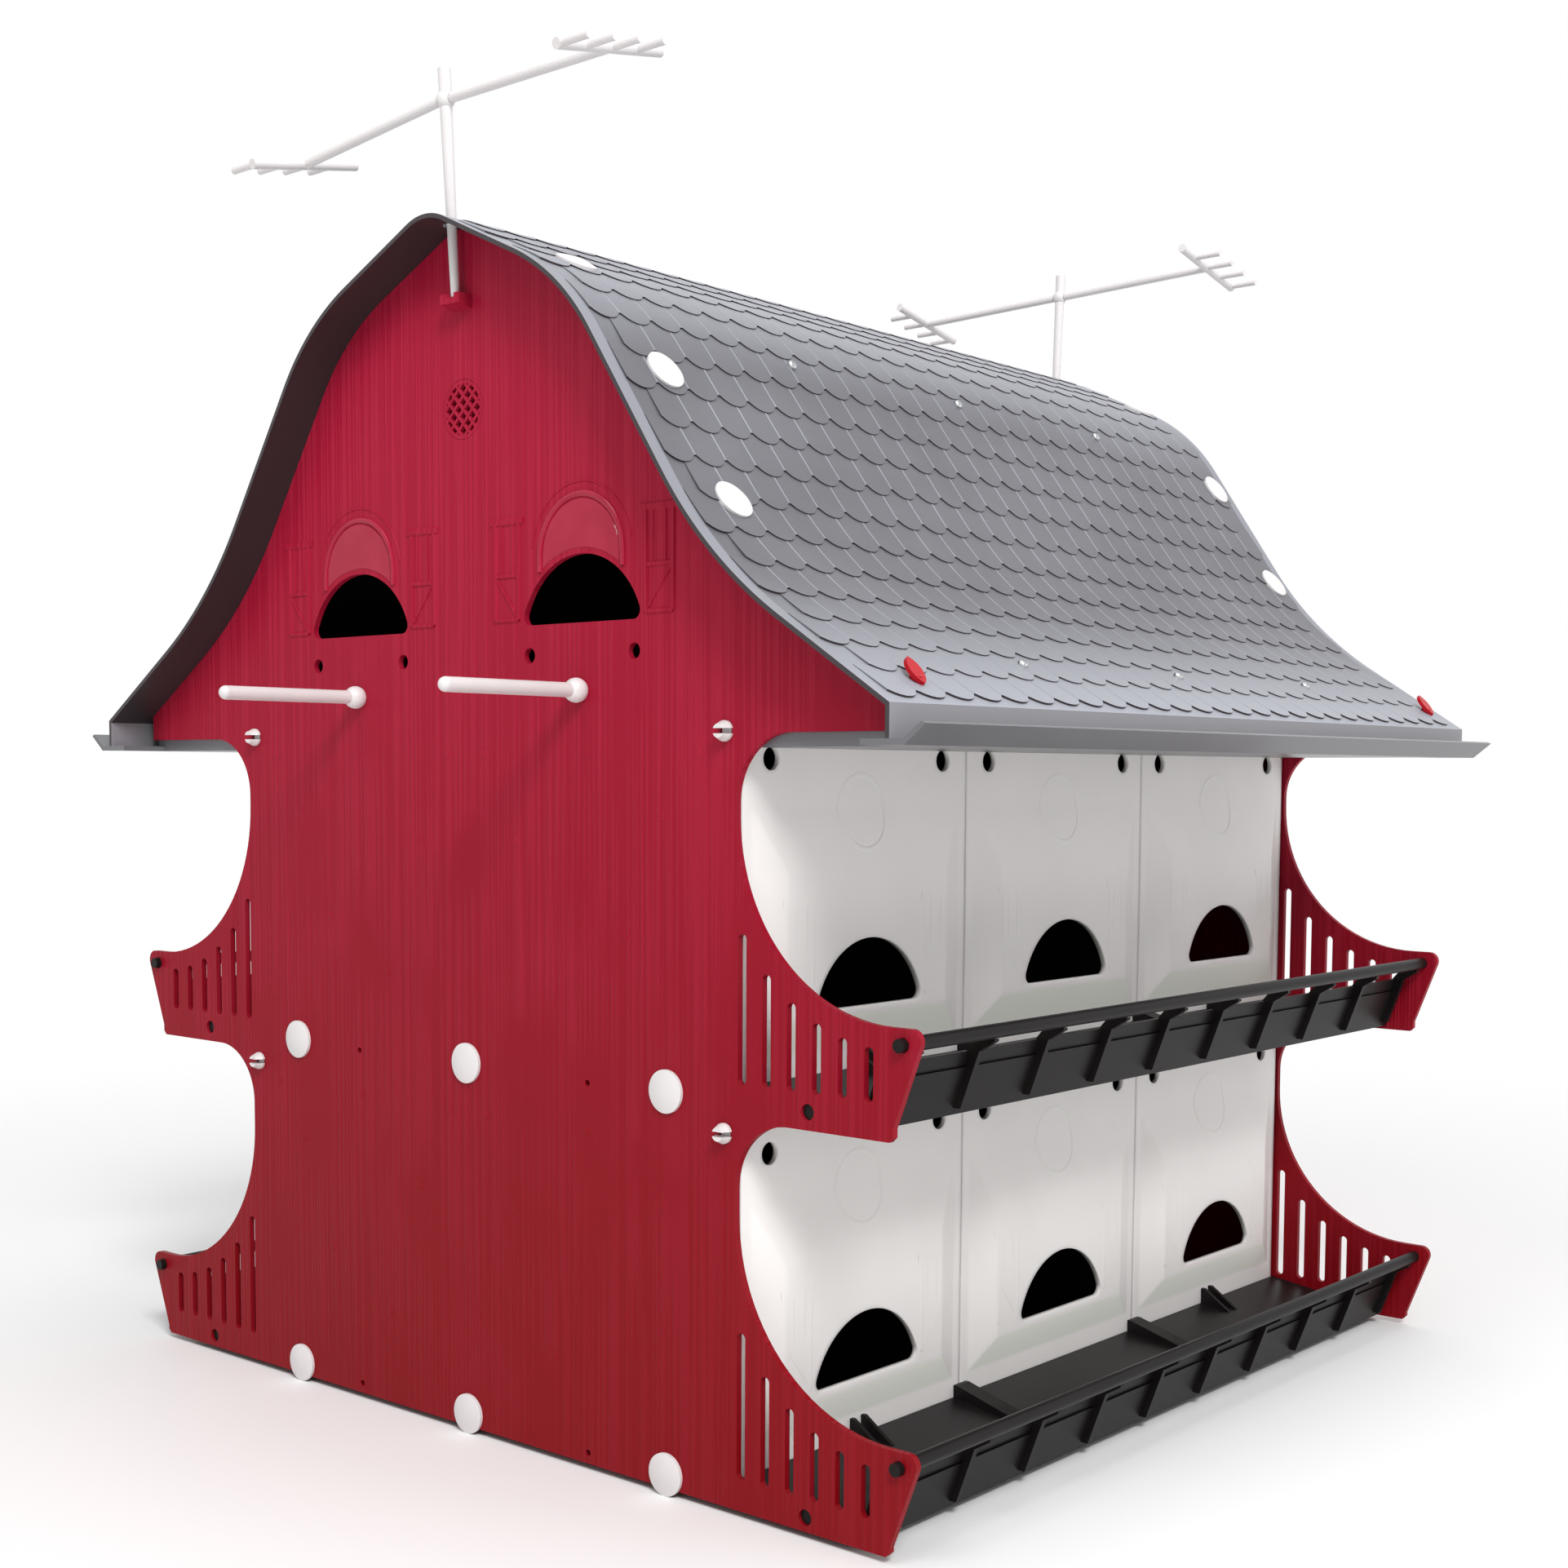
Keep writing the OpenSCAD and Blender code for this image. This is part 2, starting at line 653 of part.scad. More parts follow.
// Split pin with a barbed head.
module snap_pin() {
    head_h = 5;
    tail = panel_t + 1;
    difference() {
        turned([[0, -tail], [pin_stem_d / 2, -tail], [pin_stem_d / 2, 0.3], [pin_d / 2, 0.3],
            [pin_d / 2, 1.6], [pin_d / 3, head_h], [0, head_h]]);
        translate([-pin_d, -1.1, -1]) cube([2 * pin_d, 2.2, head_h + 2]);
    }
}
module snap_pins() {
    color("white")
    each_side() for (s = sides) for (k = [0, 1]) on_panel(s, pin_x, pin_z + k * storey_h) snap_pin();
}

// Perch rod with a round end, and a knob and a stem at the panel.
module perch() {
    neck = sqrt(pow(knob_d, 2) - pow(perch_d, 2)) / 2;
    low = 3;
    turned(concat(
        [[0, -panel_t], [perch_stem_d / 2, -panel_t], [perch_stem_d / 2, 0]],
        arc([0, low], knob_d / 2, asin(-2 * low / knob_d), asin(2 * neck / knob_d), 10),
        arc([0, perch_len - perch_d / 2], perch_d / 2, 0, 90, 6)
    ));
}
module perches(side) {
    color("white") each_side() on_panel(side, loft_x, loft_z + perch_z) perch();
}
module front_perches() { perches(-1); }
module back_perches() { perches(1); }

// Round vent with a lattice of crossing bars.
module vent(side) {
    bar_w = 1.3;
    bar_pitch = 4.5;
    rim = 2;
    bars = ceil(vent_d / bar_pitch / 2);
    color("firebrick")
    translate([0, side * (panel_y + panel_t / 2), base_z + vent_z]) along_y(panel_t) difference() {
        vent_2d(fit_gap);
        difference() {
            vent_2d(rim);
            for (a = [-45, 45]) rotate(a) for (i = [-bars:bars])
                translate([i * bar_pitch - bar_w / 2, -vent_d]) square([bar_w, 2 * vent_d]);
        }
    }
}
module front_vent() { vent(-1); }
module back_vent() { vent(1); }

// Masts stand in a socket on a shelf and lean outwards.
shelf_z = ridge_h - shelf_drop;
socket_h = 3.5;
mast_len = (shelf_drop + mast_rise + socket_h - fit_gap) / cos(mast_lean);
knuckle_d = mast_d + 2.6;
module on_mast(side) {
    translate([0, side * (face_y + mast_off), base_z + shelf_z - socket_h + fit_gap])
        rotate([-side * mast_lean, 0, 0]) children();
}
module mast(side) {
    color("white") on_mast(side) difference() {
        union() {
            cylinder(h = mast_len, d1 = mast_foot_d, d2 = mast_d);
            translate([0, 0, mast_len - arm_drop]) sphere(d = knuckle_d);
        }
        translate([0, 0, mast_len - arm_drop]) rotate([0, 90, 0])
            cylinder(h = 2 * knuckle_d, d = arm_core_d + 2 * fit_gap, center = true);
    }
}
module front_mast() { mast(-1); }
module back_mast() { mast(1); }

// Shelf with a socket for a mast's foot and a notch that leads into it.
module mast_shelf() {
    w = 13;
    out = mast_off + mast_foot_d / 2 + 1.8;
    h = 6.2;
    nose = 4.6;
    notch_h = 1.8;
    mouth = 3.5;
    throat = 1.5;
    difference() {
        rotate([90, 0, 90]) linear_extrude(w, center = true) polygon([[0, -h], [0, 0], [out, 0], [out, -nose]]);
        translate([0, mast_off, -socket_h]) cylinder(h = h, d = mast_foot_d + 1);
        translate([0, 0, -notch_h]) linear_extrude(h)
            polygon([[-throat, mast_off], [throat, mast_off], [mouth, out + 1], [-mouth, out + 1]]);
    }
}
module mast_brackets() {
    color("firebrick")
    for (s = sides) translate([0, s * face_y, base_z + shelf_z]) mirror([0, s < 0 ? 1 : 0, 0]) mast_shelf();
}

// Half of an arm: it starts at a mast's knuckle, droops by an angle and ends inside its rake.
module half_arm(side, turn, droop) {
    len = arm_len - knuckle_d / 2;
    end_in = 0.5;
    translate([turn * knuckle_d / 2, 0, 0]) rotate([0, turn * (90 + droop), 0]) {
        cylinder(h = len - end_in, d = arm_d);
        translate([0, 0, len]) rotate([0, -turn * (90 + droop), 0]) rake(side, turn);
    }
}

// Rake: a tilted bar with tines that point outwards, spaced from its outer end.
module rake(side, turn) {
    first = rake_len / 2 - 2;
    pitch = (rake_len - 17) / (tine_count - 1);
    root_in = 0.4;
    rotate([-side * rake_tilt, 0, 0]) {
        rotate([90, 0, 0]) cylinder(h = rake_len, d = rake_d, center = true);
        for (i = [0:tine_count - 1]) translate([turn * root_in, side * (first - i * pitch), 0])
            rotate([0, turn * 90, 0]) cylinder(h = tine_len, d = tine_d);
    }
}

// Arm: its two halves are joined by a thinner core that passes through the knuckle.
module arm(side, droops) {
    core_lap = 1.5;
    color("white") on_mast(side) translate([0, 0, mast_len - arm_drop]) rotate([side * mast_lean, 0, 0]) {
        rotate([0, 90, 0]) cylinder(h = knuckle_d + 2 * core_lap, d = arm_core_d, center = true);
        half_arm(side, -1, droops[0]);
        half_arm(side, 1, droops[1]);
    }
}
module front_arm() { arm(-1, [5.5, 0]); }
module back_arm() { arm(1, [1.4, -1.4]); }

front_gable();
back_gable();
bottom_floor();
middle_floor();
attic_floor();
lower_dividers();
upper_dividers();
left_lower_porch();
left_upper_porch();
right_lower_porch();
right_upper_porch();
left_lower_rail();
left_upper_rail();
right_lower_rail();
right_upper_rail();
left_lower_front_1();
left_lower_front_2();
left_lower_front_3();
left_upper_front_1();
left_upper_front_2();
left_upper_front_3();
right_lower_front_1();
right_lower_front_2();
right_lower_front_3();
right_upper_front_1();
right_upper_front_2();
right_upper_front_3();
left_roof();
right_roof();
left_gutter();
right_gutter();
front_caps();
back_caps();
roof_caps();
snap_pins();
front_perches();
back_perches();
front_vent();
back_vent();
front_mast();
back_mast();
front_arm();
back_arm();
mast_brackets();
roof_tabs();
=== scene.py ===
"""Finishes and fine relief of a two-storey plastic martin house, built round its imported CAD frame."""

import math

import bpy
from bpy.props import FloatProperty, FloatVectorProperty, PointerProperty
from bpy.types import Operator, Panel, PropertyGroup
from mathutils import Matrix, Vector
from mathutils.bvhtree import BVHTree


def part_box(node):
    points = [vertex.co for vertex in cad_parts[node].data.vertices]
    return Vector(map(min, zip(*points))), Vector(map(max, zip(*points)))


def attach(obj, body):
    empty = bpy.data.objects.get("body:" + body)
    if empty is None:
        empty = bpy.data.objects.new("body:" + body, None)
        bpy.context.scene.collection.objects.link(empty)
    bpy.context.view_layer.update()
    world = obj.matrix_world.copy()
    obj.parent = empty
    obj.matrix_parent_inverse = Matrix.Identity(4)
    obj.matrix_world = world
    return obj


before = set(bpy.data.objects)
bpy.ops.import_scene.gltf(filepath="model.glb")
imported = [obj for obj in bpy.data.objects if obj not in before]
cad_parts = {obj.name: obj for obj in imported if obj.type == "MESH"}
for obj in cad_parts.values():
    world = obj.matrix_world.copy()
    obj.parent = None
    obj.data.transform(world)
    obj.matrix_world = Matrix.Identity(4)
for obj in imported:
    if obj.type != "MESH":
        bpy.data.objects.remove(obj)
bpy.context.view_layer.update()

bl_info = {
    "name": "Martin House",
    "version": (1, 0, 0),
    "blender": (4, 5, 0),
    "location": "3D View > Sidebar > Martin House",
    "description": "Finishes, shingles, reliefs and studio for a plastic martin house",
    "category": "Object",
}

MM = 0.001
BODY = "root"


def shade(red, green, blue):
    """A colour given in display values from 0 to 255, as linear values."""
    linear = []
    for value in (red, green, blue):
        part = value / 255
        linear.append(part / 12.92 if part <= 0.04045 else ((part + 0.055) / 1.055) ** 2.4)
    return tuple(linear)


def toned(tint, factor, lift=0.0):
    """A tint made darker or paler, each part at most 1."""
    return tuple(min(1.0, part * factor + lift) for part in tint)


def colour(name, description, rgb):
    """A colour property with a default in display values."""
    return FloatVectorProperty(
        name=name, description=description, subtype="COLOR", size=3, min=0, max=1, default=shade(*rgb)
    )


def length(name, description, value_mm, low=0.0, high=1000.0):
    """A length property with its default in millimetres."""
    return FloatProperty(
        name=name, description=description, unit="LENGTH", subtype="DISTANCE",
        default=value_mm * MM, min=low * MM, max=high * MM,
    )


# ---------------------------------------------------------------- settings


class MartinColours(PropertyGroup):
    """Colours of the house's plastics."""

    panel_high: colour("Panel, high", "Red of the end panels under the ridge", (160, 22, 52))
    panel_low: colour("Panel, low", "Red of the end panels at the foot", (129, 10, 20))
    front: colour("Room front", "Off-white of the room fronts", (236, 232, 230))
    # Painted light and shade: the facets under the entrances look downwards and take this tone in place
    # of their own shading.
    sill: colour("Sill", "Cooler tone of the facet under an entrance", (238, 238, 230))
    # Painted shade: the rooms' inner faces, floors and dividers take this dark tone in place of the
    # shade inside the rooms.
    inside: colour("Inside", "Dark tone inside the rooms", (22, 18, 18))
    roof: colour("Roof", "Grey of the shingles", (95, 95, 101))
    # Painted light: the paler grey at the ridge and the eave stands in for the light on the roof's
    # flatter parts; along the ends it is a paler border strip.
    roof_pale_and_painted_light: colour("Roof, pale", "Paler grey at the ridge, the eave and the border", (149, 151, 160))
    fascia: colour("Fascia", "Paler grey of the fascia under the eave", (182, 183, 190))
    roof_end: colour("Roof end", "Dark tone of the sheet's cut ends", (60, 56, 60))
    # Painted highlight: the ridges between scales take this paler tone in place of the light they
    # catch.
    roof_joint_highlight: colour("Roof joint", "Paler grey between two scales", (142, 144, 151))
    # Painted shade: the faces of a scale's lower edge take this dark tone in place of the shadow under
    # the step.
    roof_edge_shade: colour("Scale edge", "Dark grey of a scale's lower edge", (56, 57, 62))
    # Painted shade: faces of the roof that look downwards take this dark tone in place of the shade
    # under the overhang.
    roof_under_shade: colour("Roof underside", "Dark tone under the overhang", (52, 44, 46))
    porch: colour("Porch", "Near-black of porches and rails", (24, 21, 21))
    trim: colour("Trim", "White of caps, perches, masts and arms", (218, 214, 214))
    tab: colour("Tab", "Bright red of the roof tabs", (176, 16, 30))
    lip: colour("Gutter lip", "Smoky grey of the gutters", (104, 104, 108))
    steel: colour("Screw", "Bright steel of the roof screws", (196, 198, 200))
    floor: colour("Studio floor", "Pale floor of the studio", (238, 238, 238))


class MartinShingles(PropertyGroup):
    """Sizes of the fish-scale shingles moulded into the roof."""

    pitch: length("Scale width", "Distance between neighbouring scales", 19.15, 10, 40)
    row: length("Row height", "Distance between rows along the slope", 19.5, 10, 40)
    sag: length("Rounding", "Drop of a scale's rounded lower edge", 4.6, 1, 10)
    joint: length("Joint", "Width of the joint between two scales", 1.5, 0.2, 4)
    step: length("Step", "Height of a scale's lower edge", 0.9, 0.2, 2)
    border: length("Border", "Smooth border at the roof's ends", 6.5, 2, 30)
    fascia: length("Fascia", "Height of the paler fascia under the eave", 13.4, 5, 30)


class MartinEntrances(PropertyGroup):
    """Where the crescent entrances lie, for the reliefs round them."""

    half: length("Half width", "Half width of a crescent entrance", 38, 20, 60)
    rise: length("Rise", "Height of a crescent entrance", 30, 20, 60)
    foot: length("Foot", "Height of its lower edge above the storey's base", 40.5, 20, 60)
    loft_off: length("Loft distance", "Distance of the loft entrances from the middle", 77.5, 40, 120)


class MartinReliefs(PropertyGroup):
    """Sizes of the low reliefs on the end panels and the room fronts."""

    arch_radius: length("Arch radius", "Outer radius of a loft entrance's fanlight", 27.5, 10, 40)
    arch_width: length("Arch width", "Width of the fanlight's rim", 3.0, 1, 8)
    relief: length("Relief", "Height of the reliefs on the end panels", 0.7, 0.1, 2)
    shutter_width: length("Shutter width", "Width of a moulded shutter", 16, 10, 40)
    shutter_height: length("Shutter height", "Height of a moulded shutter", 44, 20, 60)
    shutter_off: length("Shutter distance", "From the entrance's middle to a shutter's", 48, 38, 60)
    bar: length("Bar", "Width of a shutter's bars", 2.6, 1, 6)
    faint: length("Faint relief", "Height of the rings on the room fronts", 0.28, 0.05, 1)
    trace: length("Trace", "Height of the shutters on the room fronts", 0.2, 0.05, 1)
    ring_radius: length("Ring radius", "Radius of the ring on a room front", 16.5, 10, 40)
    ring_height: length("Ring height", "Height of the ring above the storey's base", 126, 80, 150)
    dimple: length("Dimple", "Diameter of the moulding marks", 4.4, 1, 10)


class MartinScrews(PropertyGroup):
    """Sizes of the small screws in the roof."""

    head: length("Head", "Diameter of a screw's head", 5.0, 2, 10)
    rise: length("Rise", "Height of a screw's head", 1.5, 0.5, 4)
    pitch: length("Pitch", "Distance between screws along the ridge", 132, 60, 200)
    high: length("High row", "Distance of the upper row from the ridge", 121, 60, 160)
    low: length("Low row", "Distance of the lower row from the ridge", 318, 200, 330)


# ---------------------------------------------------------------- shader maths


class Wire:
    """A shader socket that takes part in Python expressions."""

    def __init__(self, nodes, socket):
        self.nodes = nodes
        self.socket = socket

    def maths(self, operation, *values):
        """The result of a Math node."""
        return self.nodes.add("ShaderNodeMath", dict(enumerate(values)), operation=operation)

    def __add__(self, other):
        return self.maths("ADD", self, other)

    def __radd__(self, other):
        return self.maths("ADD", other, self)

    def __sub__(self, other):
        return self.maths("SUBTRACT", self, other)

    def __rsub__(self, other):
        return self.maths("SUBTRACT", other, self)

    def __mul__(self, other):
        return self.maths("MULTIPLY", self, other)

    def __rmul__(self, other):
        return self.maths("MULTIPLY", other, self)

    def __lt__(self, other):
        return self.maths("LESS_THAN", self, other)

    def __gt__(self, other):
        return self.maths("GREATER_THAN", self, other)

    def __abs__(self):
        return self.maths("ABSOLUTE", self)

    def larger(self, other):
        """The larger of two values."""
        return self.maths("MAXIMUM", self, other)

    def span(self, low, high):
        """0 below low, 1 above high and a smooth step between."""
        limits = {0: self, 1: low, 2: high, 3: 0.0, 4: 1.0}
        return self.nodes.add("ShaderNodeMapRange", limits, interpolation_type="SMOOTHSTEP")


class Nodes:
    """A shader's node tree, in which every new node comes from one method."""

    def __init__(self, tree):
        self.tree = tree

    def add(self, kind, sockets=None, out=0, **settings):
        """A node with its settings set first and then its sockets' values or links."""
        node = self.tree.nodes.new(kind)
        for name, value in settings.items():
            setattr(node, name, value)
        for name, value in (sockets or {}).items():
            if isinstance(value, Wire):
                self.tree.links.new(value.socket, node.inputs[name])
            else:
                node.inputs[name].default_value = value
        return Wire(self, node.outputs[out])

    def outputs(self, kind, names, sockets=None):
        """Several outputs of one new node."""
        node = self.add(kind, sockets, names[0]).socket.node
        return [Wire(self, node.outputs[name]) for name in names]

    def seen(self):
        """1 for the rays that see a surface directly, mirrored or through glass."""
        rays = ("Is Camera Ray", "Is Glossy Ray", "Is Transmission Ray")
        direct, mirrored, through = self.outputs("ShaderNodeLightPath", rays)
        return direct.larger(mirrored).larger(through)

    def end(self, output, shader):
        """Links the last shader to the tree's output node."""
        self.tree.links.new(shader.socket, self.tree.nodes[output].inputs["Surface"])


class Finish(Nodes):
    """One procedural material, built node by node."""

    def __init__(self, name):
        self.material = bpy.data.materials.new(name)
        self.material.use_nodes = True
        super().__init__(self.material.node_tree)
        self.shader = self.tree.nodes["Principled BSDF"]
        self.place = self.add("ShaderNodeTexCoord", out="Object")
        self.x, self.y, self.z = self.outputs("ShaderNodeSeparateXYZ", "XYZ", {0: self.place})

    def facing(self):
        """The three parts of the surface's direction."""
        normal = self.add("ShaderNodeNewGeometry", out="Normal")
        return self.outputs("ShaderNodeSeparateXYZ", "XYZ", {0: normal})

    def stretched(self, x, y, z):
        """The piece's own coordinates, scaled along each axis."""
        return self.add("ShaderNodeCombineXYZ", {0: self.x * x, 1: self.y * y, 2: self.z * z})

    def noise(self, vector, scale=1.0, detail=2.0, roughness=0.5):
        """Cloudy values from 0 to 1."""
        sockets = {"Vector": vector, "Scale": scale, "Detail": detail, "Roughness": roughness}
        return self.add("ShaderNodeTexNoise", sockets)

    def mix(self, amount, first, second):
        """A colour between two others; the Mix node's colours go in at 6 and 7 and come out at 2."""
        colours = {6: first, 7: second}
        for place, value in colours.items():
            if not isinstance(value, Wire):
                colours[place] = (*value, 1.0)
        return self.add("ShaderNodeMix", {0: amount, **colours}, out=2, data_type="RGBA")

    def bump(self, height, distance, strength=1.0, normal=None):
        """A surface raised by a height, over a normal of its own where one is given."""
        sockets = {"Height": height, "Distance": distance, "Strength": strength}
        if normal is not None:
            sockets["Normal"] = normal
        return self.add("ShaderNodeBump", sockets, out="Normal")

    def feed(self, **inputs):
        """Gives the shader's sockets, named with underscores, their values or links."""
        for name, value in inputs.items():
            socket = self.shader.inputs[name.replace("_", " ")]
            if isinstance(value, Wire):
                self.tree.links.new(value.socket, socket)
            elif socket.type == "RGBA":
                socket.default_value = (*value, 1.0)
            else:
                socket.default_value = value
        return self.material


# ---------------------------------------------------------------- finishes

SHEET = 2.5 * MM  # thickness of a room front
BULGE = 6.3 * MM  # how far its entrance plane stands proud
CREASE = 3.5 * MM  # radius that its creases are rounded with
LEVELLING = 0.7  # share of a shallow facet's tilt that its shading leaves out
# Where the roof's painted light begins and ends: above its lowest edge, and below its ridge.
EAVE_PAINTED_LIGHT = (8 * MM, 70 * MM)
RIDGE_PAINTED_LIGHT = (75 * MM, 12 * MM)


def moulded(name, tint, rough=0.35, mottle=0.05, shine=0.5):
    """Plain moulded plastic: slight mottling, uneven gloss and a fine skin."""
    fin = Finish(name)
    cloud = fin.noise(fin.place, scale=22.0, detail=4.0)
    skin = fin.noise(fin.place, scale=900.0)
    return fin.feed(
        Base_Color=fin.mix(cloud.span(0.3, 0.7), toned(tint, 1 - mottle), toned(tint, 1 + mottle)),
        Roughness=rough + 0.12 * (cloud - 0.5),
        Specular_IOR_Level=shine,
        Normal=fin.bump(skin, 0.04 * MM),
    )


def panel_red(colours):
    """Red plastic with a moulded vertical wood grain, paler towards the ridge."""
    fin = Finish("panel_red_grain")
    low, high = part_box("front_gable")
    rise = fin.z.span(low.z, high.z)
    base = fin.mix(rise, colours.panel_low, colours.panel_high)
    streak = fin.noise(fin.stretched(640.0, 60.0, 6.0), detail=1.0)
    patch = fin.noise(fin.stretched(26.0, 26.0, 12.0))
    grain = streak.span(0.42, 0.6) * patch.span(0.3, 0.55)
    dust = fin.noise(fin.place, scale=14.0, detail=5.0)
    paler = toned(colours.panel_high, 1.25, 0.015)
    base = fin.mix(grain * (0.1 + 0.3 * rise), base, paler)
    return fin.feed(
        Base_Color=fin.mix(dust.span(0.55, 0.85) * (0.1 + 0.2 * rise), base, paler),
        Roughness=0.4 + 0.14 * (dust - 0.5) + 0.05 * grain,
        Specular_IOR_Level=0.1,
        Normal=fin.bump(grain, 0.2 * MM, 0.7),
    )


def glossy_red(colours):
    """Smooth glossy red of the fanlights over the loft entrances."""
    fin = Finish("panel_red_gloss")
    cloud = fin.noise(fin.place, scale=60.0, detail=3.0)
    pale = toned(colours.panel_high, 1.15, 0.01)
    return fin.feed(
        Base_Color=fin.mix(cloud.span(0.4, 0.7) * 0.5, colours.panel_high, pale),
        Roughness=0.16 + 0.08 * (cloud - 0.5),
        Specular_IOR_Level=0.28,
        Normal=fin.bump(cloud, 0.2 * MM, 0.5),
    )


def bright_steel(colours):
    """Plated steel with a slightly uneven polish."""
    fin = Finish("screw_steel")
    cloud = fin.noise(fin.place, scale=900.0)
    return fin.feed(
        Base_Color=fin.mix(cloud.span(0.35, 0.7), toned(colours.steel, 0.8), colours.steel),
        Metallic=1.0,
        Roughness=0.22 + 0.2 * (cloud - 0.5),
    )


def front_white(colours):
    """Off-white room fronts with dark painted shade inside and a painted tone on downward faces:
    rounded creases, shallow facets that shade like the wall.
    """
    fin = Finish("front_offwhite")
    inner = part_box("right_lower_front_2")[1].x - BULGE - SHEET
    # Faces inside the sheet take the painted shade of the inside.
    outside = abs(fin.x).span(inner + 0.1 * MM, inner + 0.3 * MM)
    cloud = fin.noise(fin.place, scale=18.0, detail=4.0)
    skin = fin.noise(fin.place, scale=700.0)
    base = fin.mix(cloud.span(0.3, 0.7), toned(colours.front, 0.96), colours.front)
    across, _, up = fin.facing()
    # Faces that look downwards take the painted tone of the sill in place of their own shading.
    base = fin.mix((up * -1.0).span(0.2, 0.34), base, colours.sill)
    outward = abs(across).span(0.8, 0.9)
    rounded = fin.add("ShaderNodeBevel", {"Radius": CREASE}, samples=6)
    keep = fin.add("ShaderNodeCombineXYZ", {0: 1.0, 1: 1.0, 2: 1.0 - LEVELLING * outward})
    level = fin.add("ShaderNodeVectorMath", {0: rounded, 1: keep}, operation="MULTIPLY")
    level = fin.add("ShaderNodeVectorMath", {0: level}, operation="NORMALIZE")
    return fin.feed(
        Base_Color=fin.mix(outside, colours.inside, base),
        Roughness=0.32 + 0.16 * (cloud - 0.5),
        Specular_IOR_Level=0.5,
        Normal=fin.bump(skin, 0.03 * MM, normal=level),
    )


def roof_grey(colours, name, tint, blend, border=0.0, fascia=0.0):
    """Grey roof plastic in patches, with painted light at the ridge and the eave, a paler border, and
    dark painted shade underneath.
    """
    fin = Finish(name)
    low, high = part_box("left_roof")
    # Painted light: the lowest part and the part near the ridge are made paler.
    eave = 1.0 - fin.z.span(low.z + EAVE_PAINTED_LIGHT[0], low.z + EAVE_PAINTED_LIGHT[1])
    crown_painted_light = fin.z.span(high.z - RIDGE_PAINTED_LIGHT[0], high.z - RIDGE_PAINTED_LIGHT[1])
    pale = eave.larger(crown_painted_light * 0.8)
    _, along, up = fin.facing()
    broad = fin.noise(fin.stretched(3.2, 2.2, 3.2))
    cloud = fin.noise(fin.stretched(9.0, 6.0, 9.0), detail=4.0, roughness=0.55)
    fleck = fin.noise(fin.place, scale=260.0, detail=3.0)
    smear = fin.noise(fin.stretched(30.0, 4.0, 30.0), detail=3.0)
    top = fin.mix(cloud.span(0.32, 0.68), toned(tint, 0.84), toned(tint, 1.1, 0.01))
    top = fin.mix(smear.span(0.55, 0.8) * 0.3, top, toned(tint, 1.3))
    top = fin.mix(broad.span(0.5, 0.75) * 0.5, top, toned(tint, 0.72))
    if border:
        pale = pale.larger(0.6 * abs(fin.y).span(high.y - border - MM, high.y - border))
    top = fin.mix(pale * blend, top, colours.roof_pale_and_painted_light)
    if border:
        top = fin.mix(fin.z < low.z + fascia, top, colours.fascia)
        top = fin.mix(abs(along).span(0.8, 0.95), top, colours.roof_end)
    return fin.feed(
        # Faces that look downwards take the painted shade of the underside.
        Base_Color=fin.mix(up.span(-0.05, 0.05), colours.roof_under_shade, top),
        Roughness=0.4 + 0.24 * (cloud - 0.5) + 0.08 * (fleck - 0.5),
        Specular_IOR_Level=0.35,
        Normal=fin.bump(fleck, 0.06 * MM),
    )


def paint(node, material):
    """Gives a CAD node its finish."""
    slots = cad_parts[node].data.materials
    slots.clear()
    slots.append(material)


def nodes_with(*words):
    """CAD nodes whose names hold one of these words."""
    return [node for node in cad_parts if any(word in node for word in words)]


# ---------------------------------------------------------------- mesh helpers


def piece(name, points, faces, materials, smooth_angle=None, kinds=None):
    """A mesh piece that rides on the house and takes the finishes it is given."""
    mesh = bpy.data.meshes.new(name)
    mesh.from_pydata([tuple(point) for point in points], [], faces)
    for material in materials:
        mesh.materials.append(material)
    if kinds:
        mesh.polygons.foreach_set("material_index", kinds)
    mesh.update()
    shown = bpy.data.objects.new(name, mesh)
    bpy.context.scene.collection.objects.link(shown)
    if smooth_angle is not None:
        mesh.shade_smooth()
        mesh.set_sharp_from_angle(angle=smooth_angle)
    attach(shown, BODY)
    return shown


RAY_START = 40 * MM  # how far off a face a ray towards it starts
RAY_LENGTH = 50 * MM


class Face:
    """Outer surface of a CAD node, with across to the right and up along Z as seen from outside."""

    def __init__(self, node, outwards, middle):
        self.tree = BVHTree.FromObject(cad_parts[node], bpy.context.evaluated_depsgraph_get())
        self.outwards = Vector(outwards)
        self.right = Vector((0.0, 0.0, 1.0)).cross(self.outwards)
        self.middle = Vector(middle)

    def at(self, across, up, lift):
        """The point on the surface at (across, up) from the face's middle, lifted off it."""
        spot = self.middle + self.right * across + Vector((0.0, 0.0, up))
        hit = self.tree.ray_cast(spot + self.outwards * RAY_START, -self.outwards, RAY_LENGTH)[0]
        return (spot if hit is None else hit) + self.outwards * lift


SUNK = -0.05 * MM  # how deep a raised shape's foot lies in its surface
RELIEF_ANGLE = math.radians(28)  # sharper edges than this stay sharp
ARC_STEPS = 28
# Cross-sections of a bar: share of its width and of its height.
SLOPED = ((-0.5, 0.0), (-0.3, 1.0), (0.3, 1.0), (0.5, 0.0))
ROUNDED = ((-0.5, 0.0), (-0.43, 0.5), (-0.25, 0.87), (0.0, 1.0), (0.25, 0.87), (0.43, 0.5), (0.5, 0.0))


